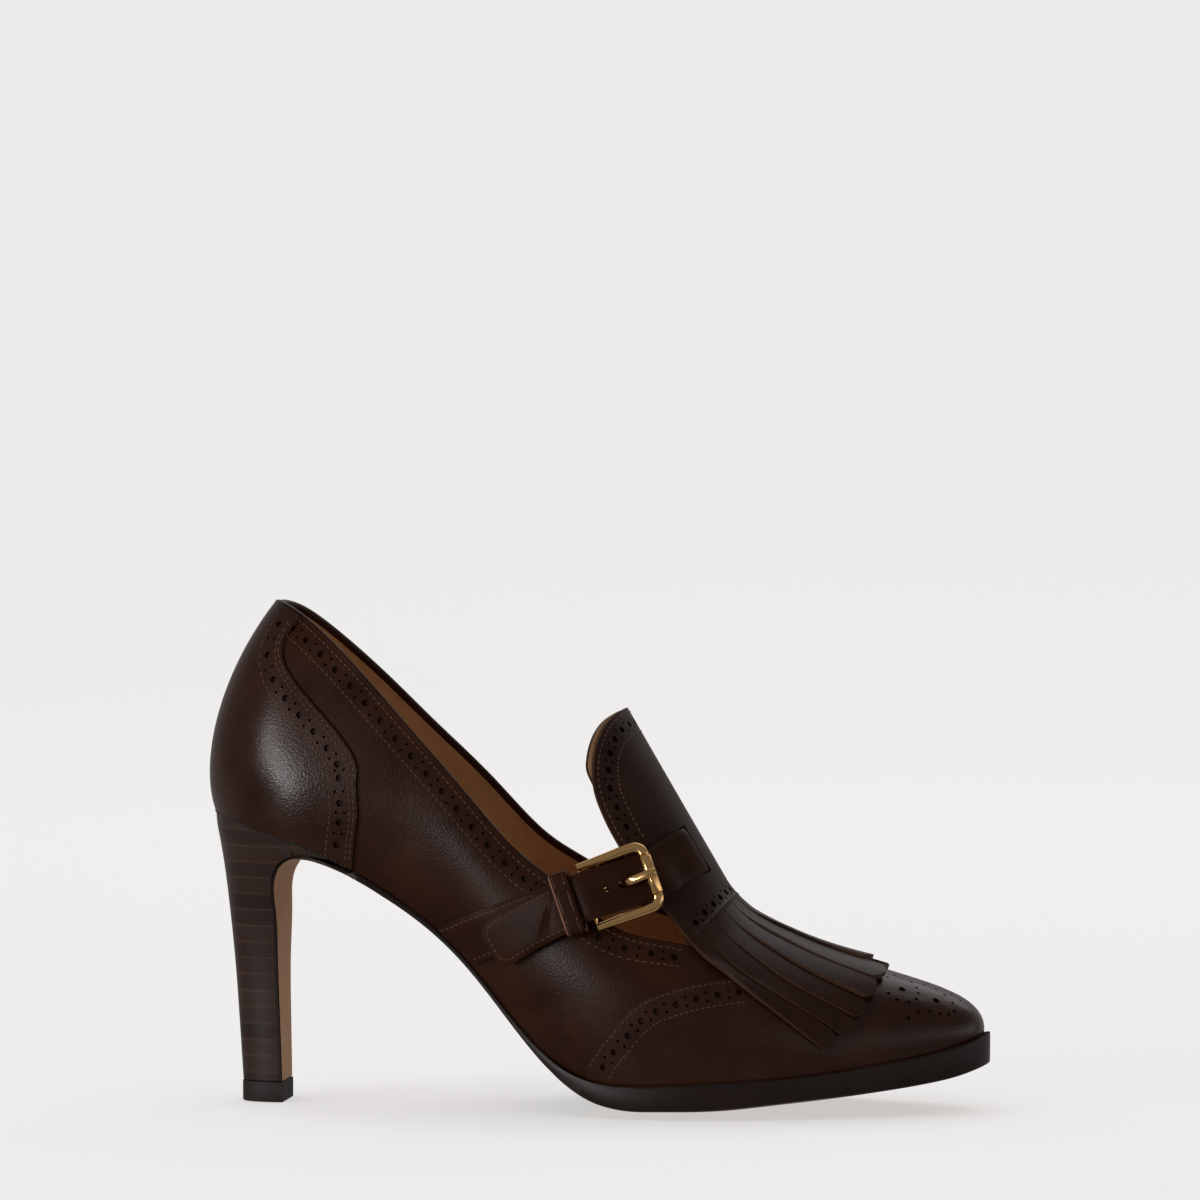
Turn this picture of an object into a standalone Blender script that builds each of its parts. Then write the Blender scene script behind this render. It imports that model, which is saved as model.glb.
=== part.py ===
"""Kiltie pump: a women's right shoe with a tall stacked heel, a fringed kiltie and a buckled strap.

The shoe stands on Z = 0 with its toe towards +X and its outer (lateral) side towards -Y.
All working sizes are in millimetres; meshes are written in metres.
"""
import math

import bmesh
import bpy
import numpy as np

MM = 0.001

# Driving dimensions, in millimetres
WALL = 1.8                  # upper leather with its lining
OVERLAY = 1.0               # wing and counter leather
GAP = 0.3                   # clearance between pieces that touch
OVERLAY_GAP = 0.5           # the same under the overlays, whose facets bridge the wall's
WELT = 3.0                  # how far the forepart of the outsole stands out from the upper
WAIST_WELT = 0.7            # the same in the waist
TOE_LEDGE = 1.2             # further out at the toe
WALL_COLUMNS = 74
WALL_ROWS = 11
INSOLE = 2.0
FLAP = 2.2                  # outsole leather turned down over the heel breast
TOP_PIECE = 6.3             # height of the rubber lift
LIFT_RIM = 0.2              # how far the lift stands out from the heel's foot
SEAT_RIM = 0.9              # how far the heel seat stands out from the upper
HEEL_POINTS = 24
HEEL_ROUNDNESS = 0.8        # 1 is an ellipse, less is squarer
TONGUE = 1.8
TONGUE_MARGIN = 0.7         # tongue past the kiltie's side edges
PRESS = 1.4                 # how far the strap presses the tongue in under the kiltie's bridge
KILTIE = 1.2
FRINGE_LENGTH = 51.0
FRINGE_SPREAD = 0.49        # how far the strips fan out down the vamp
FRINGE_STRIPS = 13
STRIP_GAP = 0.9
STRIP_POINT = 0.45          # how far the strips' ends narrow to a point
FRINGE_LIFT = 1.9           # how far the strips stand off the vamp
BRIDGE_HALF = 8.9           # half the kiltie's bridge over the strap
BRIDGE_FADE = 4.2
STRAP = 1.4                 # strap thickness
STRAP_WIDTH = 14.8
STRAP_ROOT = 0.6            # start of the strap's middle, from its first point
ROOT_SLANT = 3.3            # the edges start this much sooner and later, along the feather edge
RIDGE_SLOPE = math.radians(59.7)
THROAT = np.array([41.3, 0.0, 62.2])    # middle of the throat, where the tongue leaves the vamp
THROAT_HALF = 34.0          # half the throat line, along the leather
TONGUE_TOP = 67.0           # length of the tongue above the throat
STRAP_HEIGHT = 19.5         # where the strap crosses the tongue, up from the throat
TAIL_LENGTH = 30.5          # strap past the end of the billet
TAIL_DROP = 4.5             # how far the tail's end hangs below the billet's middle
TAIL_LIFT = 2.3             # strap's middle over the billet's
TAIL_END = 4.0              # length over which the tail narrows
TAIL_TAPER = 3.4            # and by how much on each edge
BUCKLE_CENTRE = np.array([11.8, -37.3, 69.7])
BUCKLE_TURN = [math.radians(a) for a in (5.0, 20.2, 12.0)]      # yaw, pitch and roll
BUCKLE_LONG = 10.0          # centre of the buckle to its end bars
BUCKLE_WIDE = 9.5           # centre of the buckle to its side bars
BUCKLE_WIRE = 1.2
HINGE_BAR = 0.7             # share of the wire's radius left on the two end bars
PRONG_HOLE = 2.6            # hole in the strap, along the buckle from its centre
KEEPER_WIDTH = 5.5
KEEPER_LEATHER = 1.2
KEEPER_BACK = 3.2           # keeper's middle, back from the end of the billet
CENTRE = np.array([0.18, 2.05, 0.0])     # moves the shoe's box over the origin

# Feather edge of the last and the pull of its wall, from the toe round to the heel
LAST = (                # station, x, lateral y, medial y, wall out, wall up, crown out, crown up
    ("toe_tip", 115.8, -0.5, 0.5, 5.6, 19.2, 6.6, -12.1),
    ("toe_front", 115.1, 5.8, 6.6, 5.4, 19.0, 6.4, -11.8),
    ("toe_corner", 112.0, 11.0, 11.4, 4.6, 18.0, 5.8, -10.5),
    ("toe_side", 103.5, 16.8, 16.4, 3.6, 16.5, 5.0, -8.0),
    ("toe_box", 87.0, 24.2, 22.8, 2.6, 15.0, 3.6, -3.5),
    ("forepart", 69.0, 31.0, 29.6, 2.6, 15.0, 4.4, -1.0),
    ("ball_front", 47.0, 36.2, 35.4, 3.0, 15.5, 5.0, 0.0),
    ("ball", 25.0, 38.0, 36.8, 3.6, 16.0, 5.0, 0.0),
    ("ball_back", 5.0, 35.6, 31.6, 4.5, 18.0, 5.0, 0.0),
    ("waist_front", -14.0, 30.6, 25.0, 5.5, 18.0, 5.0, 0.0),
    ("waist", -35.0, 25.8, 21.0, 6.0, 17.0, 4.5, 0.0),
    ("shank", -57.0, 24.6, 22.2, 5.0, 17.0, 4.0, 0.0),
    ("heel_front", -79.0, 25.6, 25.0, 4.0, 18.0, 4.5, 0.0),
    ("heel_side", -96.0, 24.0, 24.0, 4.2, 18.0, 6.0, 0.0),
    ("heel_corner", -109.5, 14.6, 14.6, 4.8, 15.0, 10.0, -1.0),
    ("heel_back", -116.3, 0.0, 0.0, 5.0, 13.9, 11.9, -1.7),
)

# Topline at the same stations, from the throat's corner to the back; y is the distance from the middle
TOPLINE = (             # station, x, y, lateral z, medial z
    ("forepart", 24.5, 32.6, 53.0, 53.0),
    ("ball_front", 14.5, 35.0, 55.3, 55.6),
    ("ball", 4.5, 34.8, 60.6, 61.2),
    ("ball_back", -7.0, 33.0, 69.5, 70.5),
    ("waist_front", -20.5, 30.8, 79.6, 80.6),
    ("waist", -36.5, 28.9, 97.0, 97.2),
    ("shank", -54.0, 26.8, 116.3, 115.5),
    ("heel_front", -70.5, 23.2, 134.0, 132.7),
    ("heel_side", -84.0, 17.0, 146.0, 144.9),
    ("heel_corner", -93.0, 9.2, 151.4, 151.0),
    ("heel_back", -97.0, 0.0, 152.8, 152.8),
)

# Side view of the sole: the feather edge on top and the tread below
SOLE = (                # x, feather edge z, tread z
    (119.4, 22.8, 15.8),
    (112.0, 20.4, 12.8),
    (103.0, 18.0, 10.0),
    (90.0, 15.5, 7.0),
    (77.0, 13.4, 4.7),
    (64.0, 11.8, 3.0),
    (51.0, 10.6, 1.4),
    (37.0, 9.6, -0.2),
    (24.0, 9.1, -1.0),
    (12.0, 9.4, -0.4),
    (3.0, 11.0, 3.0),
    (-5.3, 14.3, 7.4),
    (-13.5, 20.4, 15.0),
    (-24.3, 32.0, 28.2),
    (-34.5, 44.2, 41.0),
    (-45.0, 54.8, 51.8),
    (-57.0, 64.0, 61.2),
    (-70.8, 72.6, 69.9),
    (-83.0, 78.4, 74.6),
    (-92.7, 81.8, 75.0),
    (-105.0, 85.9, 75.0),
    (-118.0, 89.7, 75.0),
)

# Outer face of the breast flap, from the waist down to the lift, with the heel behind each row
BREAST = (              # level, x, z, half width, heel back x, heel back z
    ("seat", -79.0, 73.6, 25.0, -117.0, 89.0),
    ("seat_front", -86.0, 75.2, 23.0, -116.6, 85.5),
    ("fillet", -92.5, 74.2, 20.4, -115.7, 81.0),
    ("neck", -96.0, 69.8, 17.4, -114.6, 74.0),
    ("high", -96.6, 60.0, 13.8, -113.3, 62.5),
    ("mid", -96.5, 45.0, 10.9, -111.7, 45.5),
    ("low", -96.2, 25.0, 9.2, -110.3, 25.0),
    ("foot", -95.8, TOP_PIECE + GAP, 8.3, -109.2, TOP_PIECE + GAP),
)

# Edges of the overlays and the strap's route on the wall, as length and height in the side view
COUNTER_EDGE = ((-70.7, 75.0), (-69.6, 84.0), (-68.8, 91.3), (-69.1, 100.1), (-73.1, 111.6),
                (-83.7, 123.4), (-92.0, 133.5), (-93.2, 140.0), (-88.6, 147.3))
WING_EDGE = ((1.0, 14.0), (3.5, 18.5), (8.2, 24.7), (13.4, 31.0), (19.4, 36.0), (26.4, 38.8),
             (33.3, 40.5), (40.7, 41.2))
WING_PEAK = 62.0            # where the wing crosses the ridge
BREAST_SHARES = (0.07, 0.128, 0.186, 0.218, 0.25, 0.28, 0.31, 0.345, 0.39, 0.45, 0.55, 0.7, 0.85, 1.0)
BILLET_ROUTE = ((-39.0, 50.6), (-33.0, 53.0), (-25.8, 55.8), (-17.0, 59.2))

UP = np.array([0.0, 0.0, 1.0])
SHARP = math.radians(40)    # edges sharper than this keep their crease


def unit(vectors):
    """Vectors scaled to length one."""
    vectors = np.asarray(vectors, float)
    return vectors / np.linalg.norm(vectors, axis=-1, keepdims=True)


def cubic(knots, values):
    """Natural cubic spline through the values at the knots, as a function."""
    x = np.asarray(knots, float)
    y = np.asarray(values, float).reshape(len(x), -1)
    step = np.diff(x)
    count = len(x)
    matrix = np.eye(count)
    right = np.zeros_like(y)
    for i in range(1, count - 1):
        matrix[i, i - 1:i + 2] = step[i - 1], 2 * (step[i - 1] + step[i]), step[i]
        right[i] = 6 * ((y[i + 1] - y[i]) / step[i] - (y[i] - y[i - 1]) / step[i - 1])
    bend = np.linalg.solve(matrix, right)

    def at(where):
        where = np.atleast_1d(np.asarray(where, float))
        i = np.clip(np.searchsorted(x, where, side="right") - 1, 0, count - 2)
        h = step[i][:, None]
        left = (x[i + 1] - where)[:, None]
        rest = (where - x[i])[:, None]
        curve = (bend[i] * left ** 3 + bend[i + 1] * rest ** 3) / (6 * h)
        line = (y[i] / h - bend[i] * h / 6) * left + (y[i + 1] / h - bend[i + 1] * h / 6) * rest
        return curve + line
    return at


def along_path(points):
    """Knots of a path by its length, and the spline through it."""
    points = np.asarray(points, float)
    knots = np.r_[0, np.cumsum(np.linalg.norm(np.diff(points[:, :3], axis=0), axis=1))]
    return knots, cubic(knots, points)


# The last, as a wall round the foot. u runs round the feather edge: 0 at the toe, -1 and 1 at the heel
# by the lateral and medial side. t runs up the wall from the feather edge to the topline.
STATIONS = [row[0] for row in LAST]
outline = np.array([(row[1], (row[2] + row[3]) / 2) for row in LAST])
STATION_U = np.r_[0, np.cumsum(np.linalg.norm(np.diff(outline, axis=0), axis=1))]
STATION_U = STATION_U / STATION_U[-1]
CORNER_U = STATION_U[STATIONS.index("toe_box")]

sides = []
for turn in (-2, 0, 2):
    for u, row in reversed(list(zip(STATION_U, LAST))[1:]):
        sides.append((turn - u, row[1], -row[2]) + row[4:])
    for u, row in list(zip(STATION_U, LAST))[:-1]:
        sides.append((turn + u, row[1], row[3]) + row[4:])
sides = np.array(sides)
last_row = cubic(sides[:, 0], sides[:, 1:])

sole_rows = np.array(SOLE)[::-1]
sole_side = cubic(sole_rows[:, 0], sole_rows[:, 1:])

ridge_along = np.array([-math.cos(RIDGE_SLOPE), 0.0, math.sin(RIDGE_SLOPE)])
ridge_out = np.array([math.sin(RIDGE_SLOPE), 0.0, math.cos(RIDGE_SLOPE)])
instep_radius = cubic((-10.0, 0.0, 18.0, 36.0, 54.0, 75.0), (41.0, 40.0, 35.0, 31.5, 31.5, 33.0))
tongue_half = cubic((-6.0, 0.0, 15.0, 32.0, 46.0, 58.0), (34.0, 34.2, 35.0, 35.0, 33.4, 29.5))


def feather_height(x):
    return sole_side(x)[:, 0]


def tread_height(x):
    """Underside of the sole; the spline's dip below the floor becomes the flat spot of the ball."""
    return np.maximum(sole_side(x)[:, 1], 0.0)


def tongue(across, up):
    """Outer face of the tongue and its outward direction; across and up are lengths on the leather."""
    across, up = np.broadcast_arrays(np.asarray(across, float), np.asarray(up, float))
    radius = instep_radius(up.ravel())[:, 0].reshape(up.shape)
    turn = across / radius
    sag = radius * (1 - np.cos(turn))
    side = radius * np.sin(turn)
    point = THROAT + up[..., None] * ridge_along - sag[..., None] * ridge_out
    point = point + side[..., None] * np.array([0.0, 1.0, 0.0])
    out = np.cos(turn)[..., None] * ridge_out + np.sin(turn)[..., None] * np.array([0.0, 1.0, 0.0])
    return point, out


def throat_line(across):
    """Where the tongue meets the vamp, as a length up the tongue."""
    return -4.7 * (np.asarray(across, float) / THROAT_HALF) ** 2


back_rows = []
corner, _ = tongue(-THROAT_HALF, throat_line(THROAT_HALF))
for sign in (-1, 1):
    half = [(1 - CORNER_U, corner[0], -corner[1], corner[2])]
    for name, x, y, lateral_z, medial_z in TOPLINE:
        half.append((1 - STATION_U[STATIONS.index(name)], x, y, lateral_z if sign < 0 else medial_z))
    if sign < 0:
        back_rows += [(-s, x, -y, z) for s, x, y, z in half]
    else:
        back_rows += [(s, x, y, z) for s, x, y, z in reversed(half[:-1])]
back_rows = np.array(back_rows)
back_topline = cubic(back_rows[:, 0], back_rows[:, 1:])


def topline(u):
    """Upper edge of the wall: round the back, and along the throat in front of its corners."""
    u = (np.asarray(u, float) + 1) % 2 - 1
    back = back_topline(np.where(u < 0, -(1 + u), 1 - u))
    across = np.clip(u / CORNER_U, -1, 1) * THROAT_HALF
    front, _ = tongue(across, throat_line(across))
    return np.where((np.abs(u) <= CORNER_U)[:, None], front, back)


def feather(u):
    """Feather edge and its outward direction in plan."""
    u = (np.asarray(u, float) + 1) % 2 - 1
    plan = last_row(u)[:, :2]
    ahead = last_row(u + 1e-4)[:, :2] - last_row(u - 1e-4)[:, :2]
    out = unit(np.c_[ahead[:, 1], -ahead[:, 0]])
    return np.c_[plan, feather_height(plan[:, 0])], np.c_[out, np.zeros(len(out))]


def wall(u, t):
    """Outer face of the upper."""
    u, t = np.broadcast_arrays(np.asarray(u, float), np.asarray(t, float))
    shape = u.shape
    u, t = u.ravel(), t.ravel()[:, None]
    foot, out = feather(u)
    top = topline(u)
    pull = last_row((u + 1) % 2 - 1)[:, 2:]
    low = foot + out * pull[:, 0:1] + UP * pull[:, 1:2]
    high = top + (foot - top) / 3 + out * pull[:, 2:3] + UP * pull[:, 3:4]
    s = 1 - t
    point = s ** 3 * foot + 3 * s * s * t * low + 3 * s * t * t * high + t ** 3 * top
    return point.reshape(shape + (3,))


def wall_out(u, t):
    """Outward direction of the upper."""
    step = 1e-3
    round_foot = wall(np.asarray(u) + step, t) - wall(np.asarray(u) - step, t)
    upward = wall(u, np.asarray(t) + step) - wall(u, np.asarray(t) - step)
    return unit(np.cross(round_foot, upward))


def wall_at(x, z, side):
    """u and t of the wall's point at a length and height; side is -1 lateral or 1 medial."""
    u = side * float(np.interp(-x, -outline[:, 0], STATION_U))
    t = 0.5
    step = 1e-4
    for _ in range(30):
        here = wall([u], [t])[0]
        by_u = (wall([u + step], [t])[0] - here) / step
        by_t = (wall([u], [t + step])[0] - here) / step
        system = np.array([[by_u[0], by_t[0]], [by_u[2], by_t[2]]])
        move = np.linalg.solve(system, [x - here[0], z - here[2]])
        u += float(np.clip(move[0], -0.05, 0.05))
        t = float(np.clip(t + np.clip(move[1], -0.2, 0.2), 0.0, 1.0))
    return u, t


# Columns and rows of the wall: closer together round the toe and the heel, and near the feather edge
even_turns = np.linspace(-1, 1, WALL_COLUMNS, endpoint=False)
WALL_TURNS = even_turns - 0.075 * np.sin(2 * math.pi * even_turns)
for corner_turn in (-CORNER_U, CORNER_U):
    WALL_TURNS[np.argmin(np.abs(WALL_TURNS - corner_turn))] = corner_turn
WALL_HEIGHTS = np.linspace(0, 1, WALL_ROWS) ** 1.3


# Blender scene, materials and mesh helpers
for old in list(bpy.data.objects):
    bpy.data.objects.remove(old)
parts = bpy.data.collections.new("kiltie_pump")
cutters = bpy.data.collections.new("cutters")
bpy.context.scene.collection.children.link(parts)
bpy.context.scene.collection.children.link(cutters)


def material(name, colour, roughness, metallic=0.0):
    """Principled material with a plain colour."""
    made = bpy.data.materials.new(name)
    made.use_nodes = True
    shader = made.node_tree.nodes["Principled BSDF"]
    shader.inputs["Base Color"].default_value = (*colour, 1.0)
    shader.inputs["Roughness"].default_value = roughness
    shader.inputs["Metallic"].default_value = metallic
    return made


def link(name, mesh, look, collection=None):
    """New object from a mesh, in the shoe's collection unless another is given."""
    made = bpy.data.objects.new(name, mesh)
    mesh.materials.append(look)
    (collection or parts).objects.link(made)
    return made


def mesh_from(name, points, faces):
    mesh = bpy.data.meshes.new(name)
    points = (np.asarray(points, float).reshape(-1, 3) + CENTRE) * MM
    mesh.from_pydata(points.tolist(), [], faces)
    mesh.shade_smooth()
    return mesh


def sheet(name, grid, thickness, offset, look, keep=None, closed=False):
    """Leather sheet: a grid of points given its thickness by Solidify, -1 inwards or 1 outwards."""
    grid = np.asarray(grid, float)
    rows, columns = grid.shape[:2]
    faces = []
    for i in range(rows if closed else rows - 1):
        for j in range(columns - 1):
            if keep is None or keep[i][j]:
                after = (i + 1) % rows
                faces.append((i * columns + j, after * columns + j,
                              after * columns + j + 1, i * columns + j + 1))
    mesh = mesh_from(name, grid, faces)
    drop_loose(mesh)
    made = link(name, mesh, look)
    facets = made.modifiers.new("facets", "TRIANGULATE")
    facets.quad_method = "SHORTEST_DIAGONAL"
    solidify = made.modifiers.new("thickness", "SOLIDIFY")
    solidify.thickness = thickness * MM
    solidify.offset = offset
    return made


def drop_loose(mesh):
    """Removes points that no face uses."""
    work = bmesh.new()
    work.from_mesh(mesh)
    loose = [v for v in work.verts if not v.link_faces]
    bmesh.ops.delete(work, geom=loose, context="VERTS")
    work.to_mesh(mesh)
    work.free()


def loft(name, rings, look):
    """Closed solid through rings of points, its two ends closed by strips across the ring."""
    rings = np.asarray(rings, float)
    count, size = rings.shape[:2]
    faces = []
    for i in range(count - 1):
        for j in range(size):
            k = (j + 1) % size
            faces.append((i * size + j, i * size + k, (i + 1) * size + k, (i + 1) * size + j))
    for first in (0, (count - 1) * size):
        for j in range(size // 2 - 1):
            faces.append((first + j, first + j + 1, first + size - 2 - j, first + size - 1 - j))
    mesh = mesh_from(name, rings, faces)
    work = bmesh.new()
    work.from_mesh(mesh)
    work.normal_update()
    bmesh.ops.recalc_face_normals(work, faces=work.faces)
    work.to_mesh(mesh)
    work.free()
    mesh.set_sharp_from_angle(angle=SHARP)
    return link(name, mesh, look)


LEATHER = material("brown_calf", (0.030, 0.015, 0.010), 0.35)
OVERLAY_LEATHER = material("brown_calf_overlay", (0.032, 0.016, 0.011), 0.35)
KILTIE_LEATHER = material("brown_calf_kiltie", (0.028, 0.014, 0.010), 0.38)
STRAP_LEATHER = material("brown_calf_strap", (0.029, 0.015, 0.010), 0.36)
LINING = material("tan_lining", (0.36, 0.20, 0.10), 0.6)
SOCK = material("tan_sock", (0.33, 0.18, 0.09), 0.6)
SOLE_EDGE = material("dark_sole", (0.014, 0.010, 0.009), 0.4)
STACK = material("stacked_wood", (0.045, 0.027, 0.021), 0.4)
RUBBER = material("dark_rubber", (0.02, 0.018, 0.017), 0.6)
GOLD = material("gold_plate", (0.90, 0.62, 0.28), 0.2, 1.0)


def outsole():
    """Forepart and waist under the feather edge, then the flap down the breast of the heel."""
    def ring(top, bottom, lateral, medial, top_inset, bottom_inset):
        """Eight points round the sole: two on each side of top and bottom and two up each edge."""
        top, bottom = np.asarray(top), np.asarray(bottom)
        high = top + (bottom - top) * 0.1
        low = top + (bottom - top) * 0.85
        sides = ((lateral, 1), (medial, -1))
        points = []
        for y, inward in sides:
            edge = [(top, y + inward * top_inset), (high, y), (low, y), (bottom, y + inward * bottom_inset)]
            edge = [(p[0], side, p[1]) for p, side in edge]
            points += edge if inward > 0 else edge[::-1]
        return points

    rings = []
    waist_end = STATION_U[STATIONS.index("shank")] + 0.052
    first = STATION_U[STATIONS.index("toe_front")]
    turns = np.r_[first, first + 0.012, first + 0.026, np.linspace(first + 0.044, waist_end, 38)]
    for u in turns:
        (foot_l, foot_m), (out_l, out_m) = feather([-u, u])
        x = foot_l[0]
        share = np.clip((x + 18) / 26, 0, 1)
        welt = WAIST_WELT + (WELT - WAIST_WELT) * share * share * (3 - 2 * share)
        welt += TOE_LEDGE * np.clip((x - 96) / 18, 0, 1) ** 2
        lateral = foot_l + out_l * welt
        medial = foot_m + out_m * welt
        x = (lateral[0] + medial[0]) / 2
        top = (x, feather_height([x])[0] - GAP)
        bottom = (x, tread_height([x])[0])
        bottom_inset = 3.2 - 2.0 * share
        rings.append(ring(top, bottom, lateral[1], medial[1], 0.5, bottom_inset))
    for point, inward, half, _ in breast_rows():
        rings.append(ring(point + inward * FLAP, point, -half, half, 0.2, 0.5))
    return loft("outsole", rings, SOLE_EDGE)


def breast_rows():
    """Rows down the breast: the flap's outer face, the way into the heel, half width, the heel's back."""
    seat = BREAST[0]
    waist = [(x, sole_side([x])[0, 1], 24.8) + seat[4:] for x in (-62.0, -70.8)]
    table = [(r[0], r[1], 0.0) + r[2:] for r in waist + [row[1:] for row in BREAST]]
    knots, path = along_path(table)
    where = knots[1] + (knots[-1] - knots[1]) * np.array(BREAST_SHARES)
    ahead = path(where + 0.05) - path(where - 0.05)
    rows = []
    for place, step in zip(path(where), ahead):
        inward = unit([step[1], -step[0]])
        rows.append((place[:2], inward, place[3], place[4:]))
    return rows


def d_shape(points):
    """Plan of the heel: depth from the flat breast to the back, and width, as shares."""
    angle = np.linspace(0, math.pi, points)
    depth = np.abs(np.sin(angle)) ** HEEL_ROUNDNESS
    width = np.sign(np.cos(angle)) * np.abs(np.cos(angle)) ** HEEL_ROUNDNESS
    return depth[:, None], width


def heel():
    """Stacked heel: D-shaped rings from the lift up to the seat, which follows the feather edge."""
    depth, width = d_shape(HEEL_POINTS)
    rings = []
    for place, inward, half, back in reversed(breast_rows()[2:]):
        front = place + inward * (FLAP + GAP)
        side_view = front + (back - front) * depth
        rings.append(np.c_[side_view[:, 0], -half * width, side_view[:, 1]])
    turn = STATION_U[STATIONS.index("heel_front")]
    foot, out = feather(np.linspace(-turn, turn - 2, HEEL_POINTS))
    rim = foot + out * SEAT_RIM
    rings.append(np.c_[rim[:, :2], feather_height(rim[:, 0]) - GAP])
    return loft("heel", rings, STACK)


def top_piece():
    """Rubber lift: the heel's foot drawn down to the floor."""
    depth, width = d_shape(HEEL_POINTS)
    _, front, _, half, back, _ = BREAST[-1]
    front, back, half = front + LIFT_RIM, back - LIFT_RIM, half + LIFT_RIM
    plan = np.c_[front + (back - front) * depth, -half * width]
    rings = [np.c_[plan, np.full(HEEL_POINTS, z)] for z in (0.0, TOP_PIECE)]
    return loft("top_piece", rings, RUBBER)


def insole():
    """Sock on the outsole and the heel seat, inside the wall."""
    inset = WALL + 0.9
    turns = np.r_[0.035, 0.05, np.linspace(0.07, 0.955, 34), 0.972]
    rings = []
    for u in turns:
        (foot_l, foot_m), (out_l, out_m) = feather([-u, u])
        lateral = foot_l - out_l * inset
        medial = foot_m - out_m * inset
        x = (lateral[0] + medial[0]) / 2
        z = feather_height([x])[0]
        rings.append([(x, lateral[1], z), (x, lateral[1], z + INSOLE),
                      (x, medial[1], z + INSOLE), (x, medial[1], z)])
    return loft("insole", rings, SOCK)


def upper():
    """Vamp and quarters in one hollow wall, open at the topline, the throat and the feather edge."""
    grid = wall(WALL_TURNS[:, None], WALL_HEIGHTS[None, :])
    return sheet("upper", grid, WALL, -1, LEATHER, closed=True)


def on_wall(u, t, height):
    """Points off the wall by a height."""
    return wall(u, t) + wall_out(u, t) * height


def heel_counter():
    """Overlay round the heel, its two front edges curved as in the side view."""
    edges = []
    for side in (-1, 1):
        rows = np.array([wall_at(x, z, side) for x, z in COUNTER_EDGE])
        order = np.argsort(rows[:, 1])
        edges.append(cubic(rows[order, 1], np.abs(rows[order, 0])))
    heights = np.linspace(0.015, 0.985, 12)
    shares = np.linspace(-1, 1, 27)
    grid = np.zeros((len(shares), len(heights), 3))
    for j, t in enumerate(heights):
        lateral = 1 - edges[0](t)[0, 0]
        medial = 1 - edges[1](t)[0, 0]
        turns = -1 + np.where(shares < 0, shares * medial, shares * lateral)
        grid[:, j] = on_wall(turns, np.full(len(turns), t), OVERLAY_GAP)
    return sheet("heel_counter", grid, OVERLAY, 1, OVERLAY_LEATHER)


def wing_edge():
    """Upper edge of the wing as t by u, and the two values of u where it meets the sole."""
    rows = []
    for side in (-1, 1):
        half = [wall_at(x, z, side) for x, z in WING_EDGE]
        rows += half if side < 0 else half[::-1]
    ridge_t = np.linspace(0, 1, 60)
    ridge_x = wall(np.zeros(60), ridge_t)[:, 0]
    peak = (0.0, float(np.interp(-WING_PEAK, -ridge_x, ridge_t)))
    rows.insert(len(WING_EDGE), peak)
    rows = np.array(rows)
    return cubic(rows[:, 0], rows[:, 1]), rows[0, 0], rows[-1, 0]


def toe_wing():
    """Overlay round the toe, from the feather edge up to the wing's line."""
    edge, first, last = wing_edge()
    first, last = first + 0.004, last - 0.004
    inside = WALL_TURNS[(WALL_TURNS > first + 0.01) & (WALL_TURNS < last - 0.01)]
    turns = np.r_[first, inside, last]
    shares = np.linspace(0, 1, 8) ** 1.2
    low = 0.012
    high = np.maximum(edge(turns)[:, 0], low + 0.02)
    heights = low + (high - low)[:, None] * shares
    grid = on_wall(turns[:, None] + 0 * shares, heights, OVERLAY_GAP)
    return sheet("toe_wing", grid, OVERLAY, 1, OVERLAY_LEATHER)


def tongue_top(share):
    """Rounded top edge of the tongue and the kiltie, by the share across."""
    return TONGUE_TOP - 9.0 * np.abs(share) ** 3.4


def ease(value):
    """Smooth step from 0 to 1."""
    value = np.clip(value, 0, 1)
    return value * value * (3 - 2 * value)


def under_bridge(across, up):
    """1 where the strap runs between the tongue and the kiltie, fading to 0 round about."""
    beside = ease((np.abs(across) - BRIDGE_HALF) / BRIDGE_FADE)
    above = ease((np.abs(up - STRAP_HEIGHT) - STRAP_WIDTH / 2 - 1.0) / 9.0)
    return (1 - beside) * (1 - above)


def tongue_panel():
    """Upright panel from the throat line to its rounded top."""
    half_columns = np.array([0.13, 0.26, 0.385, 0.53, 0.68, 0.84, 1.0])
    columns = np.r_[-half_columns[::-1], 0, half_columns]
    strap_rows = STRAP_HEIGHT + STRAP_WIDTH / 2 * np.array([-2.2, -1.15, 0, 1.15, 2.2])
    grid = []
    for share in columns:
        foot = throat_line(share * THROAT_HALF) + 2 * GAP
        up = np.r_[foot, strap_rows, 46.0, 57.0, tongue_top(share)]
        up[-2] = min(up[-2], up[-1] - 1.0)
        across = share * (tongue_half(up)[:, 0] + TONGUE_MARGIN * ease((up - 2) / 8))
        point, out = tongue(across, up)
        grid.append(point - out * (PRESS * under_bridge(across, up))[:, None])
    return sheet("tongue", grid, TONGUE, -1, LINING)


def strip_path(share):
    """Points down the vamp below one edge of the fringe: t, u and length from the throat."""
    t = np.linspace(1, 0.05, 80)
    u = share * CORNER_U * (1 + FRINGE_SPREAD * (1 - t))
    line = wall(u, t)
    return t, u, np.r_[0, np.cumsum(np.linalg.norm(np.diff(line, axis=0), axis=1))]


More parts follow.
